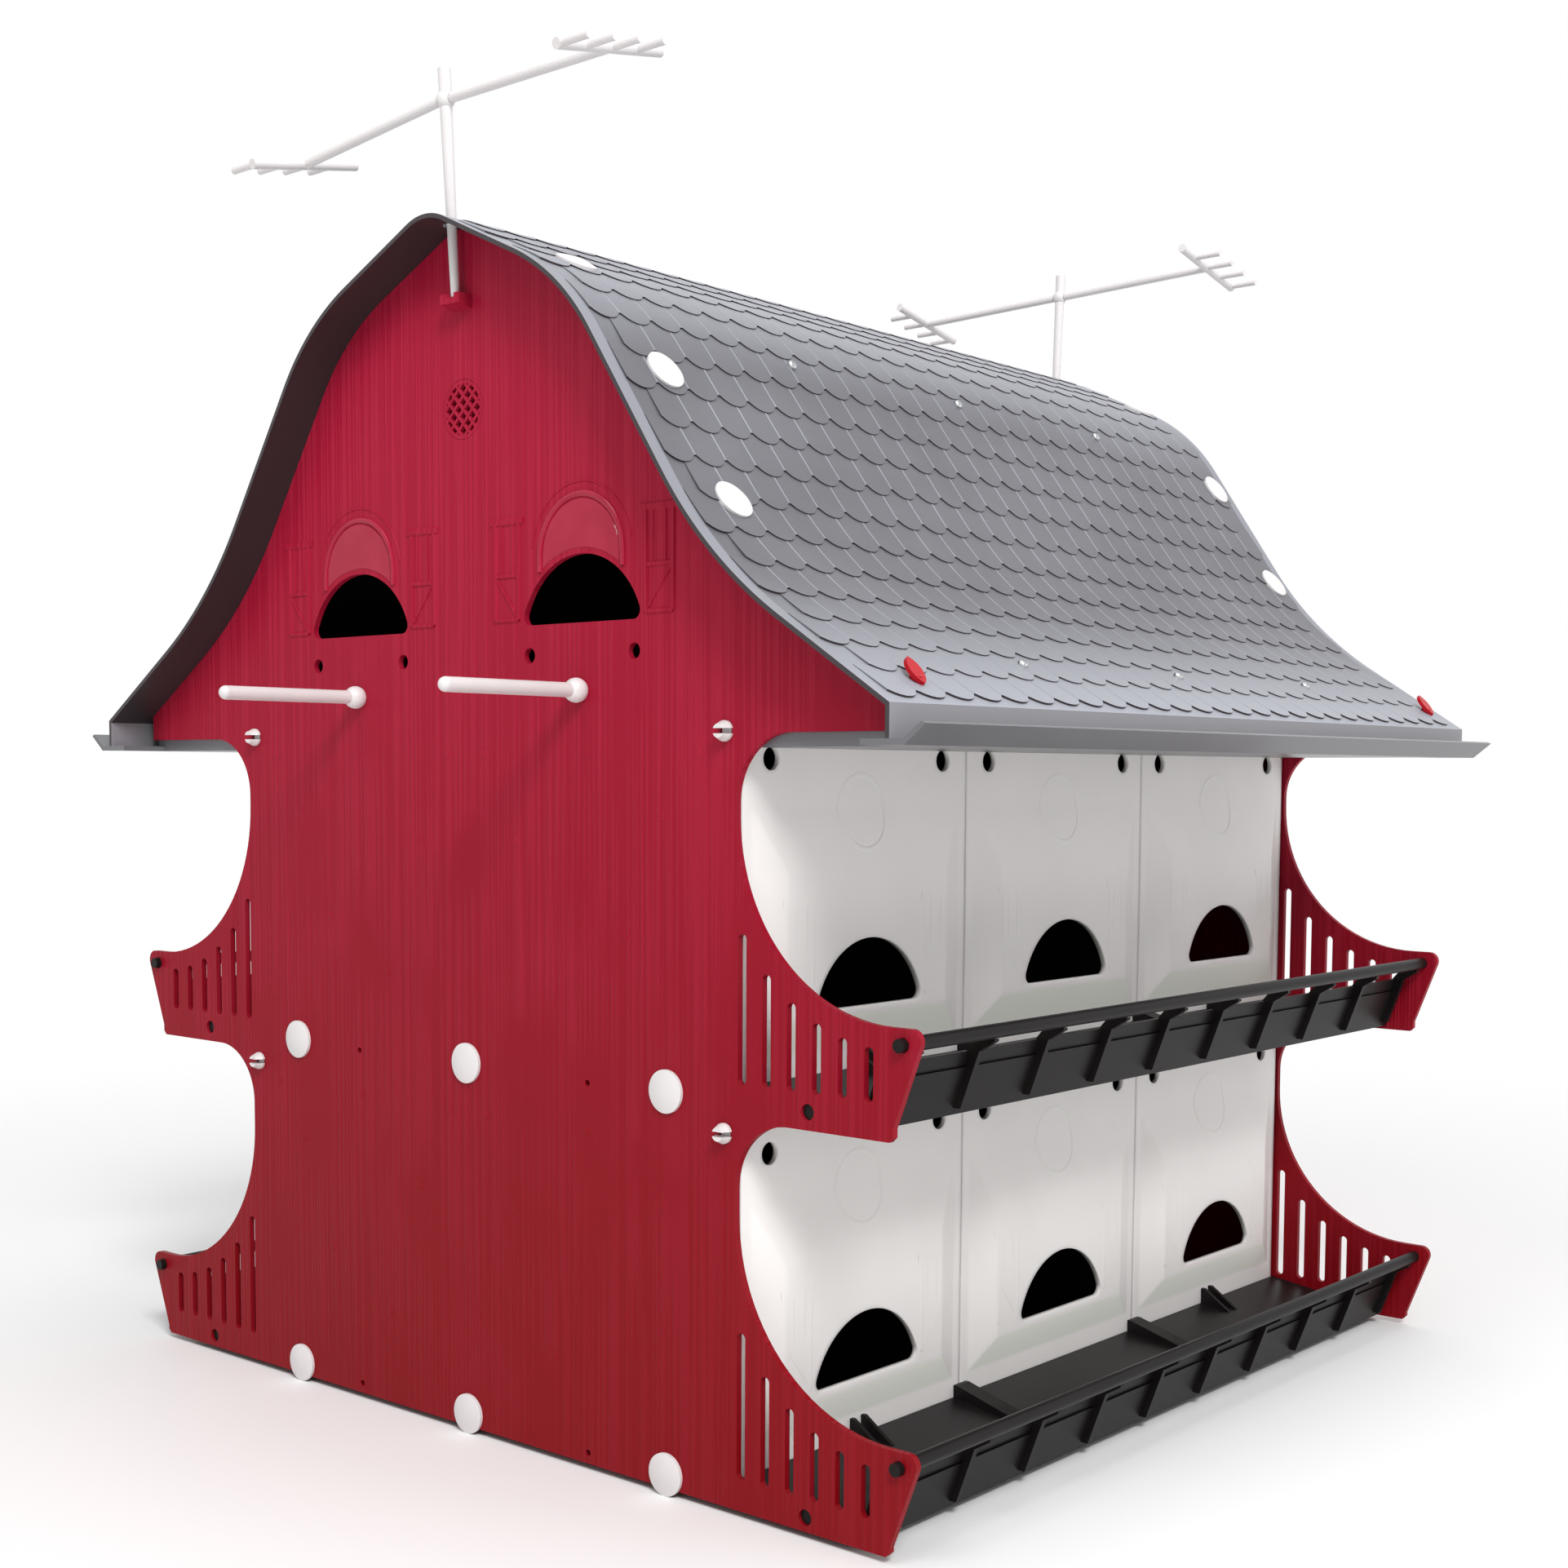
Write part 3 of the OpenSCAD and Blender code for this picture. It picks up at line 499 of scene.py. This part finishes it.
class Relief:
    """Low raised shapes laid on faces and gathered into one mesh."""

    def __init__(self):
        self.points = []
        self.faces = []

    def bar(self, face, path, width, height, closed=False, rounded=False):
        """Raised bar with sloping or rounded sides along a path of (across, up) points."""
        first, count = len(self.points), len(path)
        shape = ROUNDED if rounded else SLOPED
        profile = [(share, SUNK + (height - SUNK) * rise) for share, rise in shape]
        wide = len(profile)
        for index, spot in enumerate(path):
            here, ways = Vector(spot), []
            if closed or index:
                ways.append((here - Vector(path[index - 1])).normalized())
            if closed or index + 1 < count:
                ways.append((Vector(path[(index + 1) % count]) - here).normalized())
            along = sum(ways, Vector((0.0, 0.0))).normalized()
            mitre = 1 / max(along.dot(ways[0]), 0.5)
            side = Vector((along.y, -along.x)) * width * mitre
            self.points += [face.at(*(here + side * share), lift) for share, lift in profile]
        for index in range(count if closed else count - 1):
            near, far = first + wide * index, first + wide * ((index + 1) % count)
            for column in range(wide - 1):
                self.faces.append((near + column, near + column + 1, far + column + 1, far + column))
        if not closed:
            last = first + wide * (count - 1)
            self.faces.append(tuple(range(first + wide - 1, first - 1, -1)))
            self.faces.append(tuple(range(last, last + wide)))

    def plate(self, face, outline, height, slope):
        """Raised flat plate with a sloping edge; its outline runs anticlockwise."""
        first, count = len(self.points), len(outline)
        inner = []
        for index, spot in enumerate(outline):
            before, after = Vector(outline[index - 1]), Vector(outline[(index + 1) % count])
            along = (after - before).normalized()
            inner.append(Vector(spot) + Vector((-along.y, along.x)) * slope)
        self.points += [face.at(*spot, SUNK) for spot in outline]
        self.points += [face.at(*spot, height) for spot in inner]
        for index in range(count):
            follow = (index + 1) % count
            low, next_low = first + index, first + follow
            self.faces.append((low, next_low, next_low + count, low + count))
        self.faces.append(tuple(range(first + count, first + 2 * count)))

    def shown(self, name, material, slot):
        """The gathered shapes as one piece."""
        return piece(name, self.points, self.faces, [material], RELIEF_ANGLE)


def round_path(across, up, radius, start, end, steps):
    """Points on an arc, from one angle to another in degrees."""
    angles = [math.radians(start + (end - start) * step / steps) for step in range(steps + 1)]
    return [(across + radius * math.cos(angle), up + radius * math.sin(angle)) for angle in angles]


def circle_path(across, up, radius, steps):
    """Points on a circle, anticlockwise."""
    return round_path(across, up, radius, 0, 360, steps)[:-1]


PIVOT_RISE = 14 * MM  # height of the rays' pivot over a roof half's lowest edge
RAY_TURN = 0.1  # degrees between two rays, which begin two turns off the vertical


class Slope:
    """Outer profile of one roof half, from the ridge down to the eave, measured on the CAD roof."""

    def __init__(self, node, side):
        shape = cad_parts[node]
        tree = BVHTree.FromObject(shape, bpy.context.evaluated_depsgraph_get())
        low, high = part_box(node)
        pivot = Vector((0.0, 0.0, low.z + PIVOT_RISE))
        reach = 2 * (high.z - low.z)
        points = []
        for step in range(2, round(90 / RAY_TURN)):
            angle = math.radians(90 - RAY_TURN * step)
            way = Vector((side * math.cos(angle), 0.0, math.sin(angle)))
            hit = tree.ray_cast(pivot + way * reach, -way)[0]
            if hit is not None:
                points.append((abs(hit.x), hit.z))
        self.side = side
        self.low_y, self.high_y = low.y, high.y
        self.points = points
        self.run = [0.0]
        for before, after in zip(points, points[1:]):
            self.run.append(self.run[-1] + math.dist(before, after))
        self.girth = self.run[-1]

    def at(self, along, lift=0.0):
        """(x, z) at a distance along the slope from the ridge, lifted off the surface."""
        along = min(max(along, 0.0), self.girth)
        low, high = 0, len(self.run) - 1
        while high - low > 1:
            middle = (low + high) // 2
            if self.run[middle] <= along:
                low = middle
            else:
                high = middle
        share = (along - self.run[low]) / max(self.run[high] - self.run[low], 1e-9)
        start, end = self.points[low], self.points[high]
        wide = (end[0] - start[0], end[1] - start[1])
        size = math.hypot(*wide) or 1.0
        return (
            self.side * (start[0] + wide[0] * share - wide[1] / size * lift),
            start[1] + wide[1] * share + wide[0] / size * lift,
        )


# ---------------------------------------------------------------- operators


class MARTIN_OT_finishes(Operator):
    """Give every CAD node its moulded plastic"""

    bl_idname = "martin.finishes"
    bl_label = "Finish the mouldings"

    def execute(self, context):
        colours = context.scene.martin_colours
        red = panel_red(colours)
        for node in nodes_with("gable", "vent", "brackets"):
            paint(node, red)
        front = front_white(colours)
        for node in nodes_with("_front_"):
            paint(node, front)
        sizes = context.scene.martin_shingles
        roof = roof_grey(colours, "roof_sheet", colours.roof, 1.0, sizes.border, sizes.fascia)
        for node in ("left_roof", "right_roof"):
            paint(node, roof)
        dark = moulded("porch_black", colours.porch, rough=0.38, mottle=0.15, shine=0.13)
        for node in nodes_with("_porch", "_rail"):
            paint(node, dark)
        white = moulded("trim_white", colours.trim, rough=0.32, mottle=0.03)
        for node in nodes_with("_caps", "pins", "perches", "mast", "_arm"):
            if node != "mast_brackets":
                paint(node, white)
        # Floors and dividers take the painted shade of the inside.
        inner = moulded("room_inner_painted_shade", colours.inside, rough=0.6, mottle=0.08)
        for node in nodes_with("_floor", "dividers"):
            paint(node, inner)
        lip = moulded("gutter_smoke", colours.lip, rough=0.3, mottle=0.06)
        for node in nodes_with("gutter"):
            paint(node, lip)
        paint("roof_tabs", moulded("tab_red", colours.tab, rough=0.3, shine=0.2))
        return {"FINISHED"}


class MARTIN_OT_shingles(Operator):
    """Lay the fish-scale shingles on both roof halves"""

    bl_idname = "martin.shingles"
    bl_label = "Lay the shingles"

    def execute(self, context):
        sizes, colours = context.scene.martin_shingles, context.scene.martin_colours
        materials = [
            roof_grey(colours, "scale_top", colours.roof, 1.0),
            roof_grey(colours, "scale_edge_painted_shade", colours.roof_edge_shade, 0.35),
            roof_grey(colours, "scale_joint_painted_highlight", colours.roof_joint_highlight, 0.5),
        ]
        for node, side in (("left_roof", -1), ("right_roof", 1)):
            lay_shingles(node, side, sizes, materials)
        return {"FINISHED"}


COLUMNS = 8  # steps across a scale
RISES = 4  # steps along it
TOP, EDGE, JOINT = range(3)  # the order of the scales' finishes
RIDGE_COLUMNS = ((-0.5, 0.0), (-0.3, 1.1), (0.3, 1.1), (0.5, 0.0))  # across a joint: place and height
EAVE_STRIP = 2 * MM  # bare strip below the lowest scales
RIDGE_STRIP = 8 * MM  # no scale's foot lies nearer to the ridge
SMOOTH_ANGLE = math.radians(35)


class Scales:
    """Mesh of one roof half's scales, with a kind of material for each face."""

    def __init__(self, slope, sizes):
        self.slope = slope
        self.sizes = sizes
        self.points, self.faces, self.kinds = [], [], []

    def face(self, corners, kind):
        """Adds a face that looks outwards on either roof half."""
        self.faces.append(corners if self.slope.side > 0 else corners[::-1])
        self.kinds.append(kind)

    def point(self, along, y, lift):
        """Adds a point over the slope."""
        x, z = self.slope.at(along, lift)
        self.points.append((x, y, z))

    def lower_edge(self, foot, across):
        """Distance along the slope of a scale's rounded lower edge, across its middle."""
        half, sag = (self.sizes.pitch - self.sizes.joint) / 2, self.sizes.sag
        radius = (half * half + sag * sag) / (2 * sag)
        return foot - radius + math.sqrt(max(radius * radius - across * across, 0.0))

    def height(self, share):
        """Height of a scale's face: a quarter of the step at its head and all of it at its foot."""
        return self.sizes.step * (0.25 + 0.75 * share)

    def head(self, foot):
        """Distance along the slope at which the scale with this foot comes out from under the next."""
        return max(foot - self.sizes.row - self.sizes.sag, MM)

    def grid(self, columns, kind, start):
        """Faces between the points of all rises, from the point at start on."""
        for rise in range(RISES):
            for column in range(columns):
                corner = start + rise * (columns + 1) + column
                self.face((corner, corner + columns + 1, corner + columns + 2, corner + 1), kind)

    def scale(self, centre, foot):
        """A tongue with a rounded lower edge, thicker at its foot."""
        sizes, first = self.sizes, len(self.points)
        half = (sizes.pitch - sizes.joint) / 2
        head = self.head(foot)
        across = [half * (2 * column / COLUMNS - 1) for column in range(COLUMNS + 1)]
        for rise in range(RISES + 1):
            share = rise / RISES
            for shift in across:
                along = head + (self.lower_edge(foot, shift) - head) * share
                self.point(along, centre + shift, self.height(share))
        self.grid(COLUMNS, TOP, first)
        ring = [rise * (COLUMNS + 1) for rise in range(RISES)]
        ring += [RISES * (COLUMNS + 1) + column for column in range(COLUMNS + 1)]
        ring += [rise * (COLUMNS + 1) + COLUMNS for rise in range(RISES - 1, -1, -1)]
        skirt = len(self.points)
        for index in ring:
            rise, column = divmod(index, COLUMNS + 1)
            along = head + (self.lower_edge(foot, across[column]) - head) * rise / RISES
            self.point(along, centre + across[column], SUNK)
        for index in range(len(ring) - 1):
            # The lower edge's faces take the painted shade of the scale edge.
            kind = EDGE if RISES <= index < RISES + COLUMNS else TOP
            corners = (first + ring[index], skirt + index, skirt + index + 1, first + ring[index + 1])
            self.face(corners, kind)

    def joint(self, middle, foot):
        """A low ridge between two scales, down to where their lower edges meet."""
        sizes, first = self.sizes, len(self.points)
        head, end = self.head(foot), foot - sizes.sag
        for rise in range(RISES + 1):
            along = head + (end - head) * rise / RISES
            for share, lift in RIDGE_COLUMNS:
                self.point(along, middle + share * sizes.joint, self.height(rise / RISES) * lift)
        self.grid(len(RIDGE_COLUMNS) - 1, JOINT, first)


def lay_shingles(node, side, sizes, materials):
    """Scales in rows, every other row shifted by half a scale."""
    slope = Slope(node, side)
    scales = Scales(slope, sizes)
    start, end = slope.low_y + sizes.border, slope.high_y - sizes.border
    count = round((end - start) / sizes.pitch)
    pitch = (end - start) / count
    for row in range(int(slope.girth // sizes.row) + 1):
        foot = slope.girth - EAVE_STRIP - row * sizes.row
        if foot < RIDGE_STRIP:
            break
        shifted = row % 2
        for place in range(count - shifted):
            left = start + (place + shifted / 2) * pitch
            scales.scale(left + pitch / 2, foot)
            if place:
                scales.joint(left, foot)
    name = f"shingles_{node}"
    piece(name, scales.points, scales.faces, materials, SMOOTH_ANGLE, scales.kinds)


class MARTIN_OT_reliefs(Operator):
    """Raise the fanlights, shutters, rings and moulding marks"""

    bl_idname = "martin.reliefs"
    bl_label = "Raise the reliefs"

    def execute(self, context):
        colours, sizes = context.scene.martin_colours, context.scene.martin_reliefs
        entrances = context.scene.martin_entrances
        gloss = glossy_red(colours)
        for end, sign in (("front", -1), ("back", 1)):
            raise_gable(end, sign, entrances, sizes, gloss)
        for side, sign in (("left", -1), ("right", 1)):
            for storey, floor in (("lower", "bottom_floor"), ("upper", "middle_floor")):
                raise_fronts(side, sign, storey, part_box(floor)[0].z, entrances, sizes)
        return {"FINISHED"}


# Moulding marks of one storey on an end panel: distance from the middle and height, in millimetres.
MARKS = ((13, 151), (80, 151), (148, 151), (35, 111), (127, 124), (104, 71), (59, 45))
MARK_HEIGHT, MARK_SLOPE, MARK_SIDES = 0.25 * MM, 0.5 * MM, 14
RING_SIDES = 36
SILL_STEPS = 16


def raise_gable(end, sign, entrances, sizes, gloss):
    """Fanlights and shutters round the loft entrances, and the marks of the mould below them."""
    node = f"{end}_gable"
    low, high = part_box(node)
    plane = low.y if sign < 0 else high.y
    loft = Face(node, (0, sign, 0), (0, plane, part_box("attic_floor")[0].z))
    reliefs, panes = Relief(), Relief()
    for middle in (-entrances.loft_off, entrances.loft_off):
        add_fanlight(reliefs, panes, loft, middle, entrances, sizes)
        for hand in (-1, 1):
            shutter = middle + hand * sizes.shutter_off
            add_shutter(reliefs, loft, shutter, hand, entrances, sizes, sizes.relief)
    for floor in ("bottom_floor", "middle_floor"):
        storey = Face(node, (0, sign, 0), (0, plane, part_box(floor)[0].z))
        for across, up in MARKS:
            for hand in (-1, 1):
                outline = circle_path(hand * across * MM, up * MM, sizes.dimple / 2, MARK_SIDES)
                reliefs.plate(storey, outline, MARK_HEIGHT, MARK_SLOPE)
    reliefs.shown(f"{end}_gable_reliefs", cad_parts[node].data.materials[0], "red_plastic")
    panes.shown(f"{end}_fanlights", gloss, "red_plastic")


def add_fanlight(reliefs, panes, face, middle, entrances, sizes):
    """Arched pane over an entrance, with a raised rim and a thin line round it."""
    crescent = (entrances.half ** 2 + entrances.rise ** 2) / (2 * entrances.rise)
    top = entrances.foot + entrances.rise
    strip, gap, thin = 2.5 * MM, 0.4 * MM, 0.3 * MM
    line_off, line_width, line_end = 4 * MM, 1.2 * MM, 8
    clear = crescent + strip

    def above_entrance(across):
        return top - crescent + math.sqrt(clear * clear - across * across)

    def placed(path):
        return [(middle + across, up) for across, up in path]

    rim = sizes.arch_radius - sizes.arch_width / 2
    arch = round_path(0.0, top, rim, 180, 0, ARC_STEPS)
    path = [(-rim, above_entrance(rim)), *arch, (rim, above_entrance(rim))]
    panes.bar(face, placed(path), sizes.arch_width, 1.6 * sizes.relief, rounded=True)
    line = round_path(middle, top, sizes.arch_radius + line_off, 180 - line_end, line_end, ARC_STEPS)
    reliefs.bar(face, line, line_width, sizes.relief / 2)
    inner = sizes.arch_radius - sizes.arch_width - gap
    sill = [inner * (2 * step / SILL_STEPS - 1) for step in range(SILL_STEPS + 1)]
    outline = round_path(0.0, top, inner, 0, 180, ARC_STEPS)
    outline += [(across, above_entrance(across)) for across in sill]
    panes.plate(face, placed(outline), thin, thin)


def add_shutter(reliefs, face, middle, hand, entrances, sizes, height):
    """Open shutter beside an entrance: stiles, rails, slats and a brace."""
    raised, overhang, cross, slat_off = 3 * MM, 3 * MM, 0.45, 0.33 / 1.4
    rail_lift, slat_lift, brace_lift = 0.9 * height, 0.7 * height, 0.8 * height
    low = entrances.foot + raised
    high, half = low + sizes.shutter_height, sizes.shutter_width / 2
    centre = low + cross * sizes.shutter_height
    for across in (middle - half, middle + half):
        reliefs.bar(face, [(across, low), (across, high)], sizes.bar, height)
    for up, reach, width in ((low, half, 1.0), (centre, half, 1.0), (high, half + overhang, 1.5)):
        reliefs.bar(face, [(middle - reach, up), (middle + reach, up)], sizes.bar * width, rail_lift)
    for share in (-slat_off, slat_off):
        across = middle + share * sizes.shutter_width
        reliefs.bar(face, [(across, centre), (across, high)], sizes.bar / 2, slat_lift)
    brace = [(middle - hand * half, low), (middle + hand * half, centre)]
    reliefs.bar(face, brace, sizes.bar / 2, brace_lift)


def raise_fronts(side, sign, storey, base, entrances, sizes):
    """Faint shutters beside the entrances of one storey and a ring above each."""
    reliefs = Relief()
    nodes = nodes_with(f"{side}_{storey}_front_")
    for node in nodes:
        low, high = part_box(node)
        plane = high.x if sign > 0 else low.x
        face = Face(node, (sign, 0, 0), (plane, (low.y + high.y) / 2, base))
        for hand in (-1, 1):
            add_shutter(reliefs, face, hand * sizes.shutter_off, hand, entrances, sizes, sizes.trace)
        ring = circle_path(0.0, sizes.ring_height, sizes.ring_radius, RING_SIDES)
        reliefs.bar(face, ring, sizes.bar, sizes.faint, closed=True)
    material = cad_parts[nodes[0]].data.materials[0]
    reliefs.shown(f"front_reliefs_{side}_{storey}", material, "front_plastic")


class MARTIN_OT_screws(Operator):
    """Set the small screws in both roof halves"""

    bl_idname = "martin.screws"
    bl_label = "Set the roof screws"

    def execute(self, context):
        sizes, steel = context.scene.martin_screws, bright_steel(context.scene.martin_colours)
        lift = context.scene.martin_shingles.step
        for node, side in (("left_roof", -1), ("right_roof", 1)):
            slope = Slope(node, side)
            points, faces = [], []
            for along in (sizes.high, sizes.low):
                for place in (-1, 0, 1):
                    add_screw(points, faces, slope, along, place * sizes.pitch, sizes, lift)
            piece(f"screws_{node}", points, faces, [steel], SMOOTH_ANGLE)
        return {"FINISHED"}


SCREW_SIDES = 16


def add_screw(points, faces, slope, along, y, sizes, lift):
    """Pan head turned round the roof's normal, with a round recess for the driver."""
    radius, top = sizes.head / 2, lift + sizes.rise
    foot_x, foot_z = slope.at(along)
    tip_x, tip_z = slope.at(along, top)
    foot = Vector((foot_x, y, foot_z))
    out = (Vector((tip_x, y, tip_z)) - foot).normalized()
    side = Vector((0.0, 1.0, 0.0))
    down = out.cross(side)
    recess = (0.34, top), (0.26, top - 0.6 * MM)
    profile = ((1.0, SUNK), (1.0, top * 0.6), (0.86, top * 0.85), (0.6, top), *recess)
    first = len(points)
    for share, height in profile:
        for turn in range(SCREW_SIDES):
            angle = 2 * math.pi * turn / SCREW_SIDES
            around = side * math.cos(angle) + down * math.sin(angle)
            points.append(foot + out * height + around * radius * share)
    for ring in range(len(profile) - 1):
        start = first + ring * SCREW_SIDES
        for turn in range(SCREW_SIDES):
            near, far = start + turn, start + (turn + 1) % SCREW_SIDES
            faces.append((near, near + SCREW_SIDES, far + SCREW_SIDES, far))
    last = first + (len(profile) - 1) * SCREW_SIDES
    faces.append(tuple(range(last, last + SCREW_SIDES)))


WHITE = (1.0, 1.0, 1.0, 1.0)
SURROUND = 0.5  # strength of the light from all round
FLOOR_RADIUS, FLOOR_SIDES = 4.0, 96
FADE = (0.45, 1.3)  # distances from the house between which the floor turns white
AIM = (0.0, 0.0, 0.3)  # point that the lamps are aimed at
# Lamps: name, direction from that point, distance, width and power in watts.
LAMPS = (
    ("key", (1.07, -0.80, 1.09), 3.4, 0.9, 79),
    ("side", (1.0, 0.45, 0.25), 3.4, 2.0, 14),
    ("fill", (0.0, -0.85, 0.95), 3.4, 1.2, 16),
    ("top", (0.15, 0.1, 1.0), 3.2, 2.2, 30),
)
CAMERA_PLACE = (0.7414, -0.8791, 0.3134)
HEADING, DIP, ROLL = 0.7089, 0.0722, 0.0047  # the camera's angles in radians


class MARTIN_OT_studio(Operator):
    """Set the pale floor, the soft lamps and the camera"""

    bl_idname = "martin.studio"
    bl_label = "Set the studio"

    def execute(self, context):
        lay_floor(context.scene.martin_colours)
        light_room(context.scene)
        for lamp in LAMPS:
            add_lamp(*lamp)
        add_camera(context.scene)
        return {"FINISHED"}


def add_lamp(name, way, distance, size, power):
    """A soft square lamp aimed at the middle of the house."""
    lamp = bpy.data.lights.new(name, "AREA")
    lamp.size = size
    lamp.energy = power
    holder = bpy.data.objects.new(name, lamp)
    toward = Vector(way).normalized()
    holder.location = Vector(AIM) + toward * distance
    holder.rotation_euler = toward.to_track_quat("Z", "Y").to_euler()
    bpy.context.scene.collection.objects.link(holder)


def light_room(scene):
    """Soft surrounding light, seen as white behind the house."""
    world = bpy.data.worlds.new("soft_room")
    world.use_nodes = True
    scene.world = world
    nodes = Nodes(world.node_tree)
    room = nodes.add("ShaderNodeBackground", {"Color": WHITE, "Strength": SURROUND})
    white = nodes.add("ShaderNodeBackground", {"Color": WHITE, "Strength": 1.0})
    nodes.end("World Output", nodes.add("ShaderNodeMixShader", {0: nodes.seen(), 1: room, 2: white}))


def lay_floor(colours):
    """A wide round floor that fades to white away from the house."""
    fin = Finish("studio_floor")
    fin.feed(Base_Color=colours.floor, Roughness=0.7, Specular_IOR_Level=0.2)
    away = fin.add("ShaderNodeVectorMath", {0: fin.place}, out="Value", operation="LENGTH")
    glow = fin.add("ShaderNodeEmission", {"Color": WHITE, "Strength": 1.0})
    lit = Wire(fin, fin.shader.outputs[0])
    fade = away.span(*FADE) * fin.seen()
    fin.end("Material Output", fin.add("ShaderNodeMixShader", {0: fade, 1: lit, 2: glow}))
    mesh = bpy.data.meshes.new("studio_floor")
    ring = [(x, y, 0.0) for x, y in circle_path(0.0, 0.0, FLOOR_RADIUS, FLOOR_SIDES)]
    mesh.from_pydata(ring, [], [tuple(range(FLOOR_SIDES))])
    mesh.materials.append(fin.material)
    floor = bpy.data.objects.new("studio_floor", mesh)
    bpy.context.scene.collection.objects.link(floor)


def add_camera(scene):
    """A normal lens before the house's front right-hand corner, a little below the loft floor."""
    camera = bpy.data.cameras.new("view")
    camera.lens = 47.5
    camera.sensor_width = 36.0
    camera.shift_y = 0.0894
    holder = bpy.data.objects.new("view", camera)
    turn = (
        Matrix.Rotation(HEADING, 4, "Z")
        @ Matrix.Rotation(math.pi / 2 - DIP, 4, "X")
        @ Matrix.Rotation(ROLL, 4, "Z")
    )
    holder.matrix_world = Matrix.Translation(CAMERA_PLACE) @ turn
    scene.collection.objects.link(holder)
    scene.camera = holder
    scene.view_settings.view_transform = "Standard"


class MARTIN_PT_panel(Panel):
    """Steps of the martin house and its sizes"""

    bl_label = "Martin House"
    bl_idname = "MARTIN_PT_panel"
    bl_space_type = "VIEW_3D"
    bl_region_type = "UI"
    bl_category = "Martin House"

    def draw(self, context):
        for step in STEPS:
            self.layout.operator(step.bl_idname)
        for name in GROUPS:
            group = getattr(context.scene, name)
            box = self.layout.box()
            for setting in group.__annotations__:
                box.prop(group, setting)


STEPS = (MARTIN_OT_finishes, MARTIN_OT_shingles, MARTIN_OT_reliefs, MARTIN_OT_screws, MARTIN_OT_studio)
GROUPS = {
    "martin_colours": MartinColours,
    "martin_shingles": MartinShingles,
    "martin_entrances": MartinEntrances,
    "martin_reliefs": MartinReliefs,
    "martin_screws": MartinScrews,
}


def register():
    """Registers the settings, the steps and the panel."""
    for group in GROUPS.values():
        bpy.utils.register_class(group)
    for name, group in GROUPS.items():
        setattr(bpy.types.Scene, name, PointerProperty(type=group))
    for step in (*STEPS, MARTIN_PT_panel):
        bpy.utils.register_class(step)


def unregister():
    """Takes them all out again."""
    for step in (MARTIN_PT_panel, *reversed(STEPS)):
        bpy.utils.unregister_class(step)
    for name in GROUPS:
        delattr(bpy.types.Scene, name)
    for group in reversed(GROUPS.values()):
        bpy.utils.unregister_class(group)


def main():
    """Dresses the house step by step."""
    register()
    bpy.ops.martin.finishes()
    bpy.ops.martin.shingles()
    bpy.ops.martin.reliefs()
    bpy.ops.martin.screws()
    bpy.ops.martin.studio()
    bpy.context.view_layer.update()


if __name__ == "__main__":
    main()
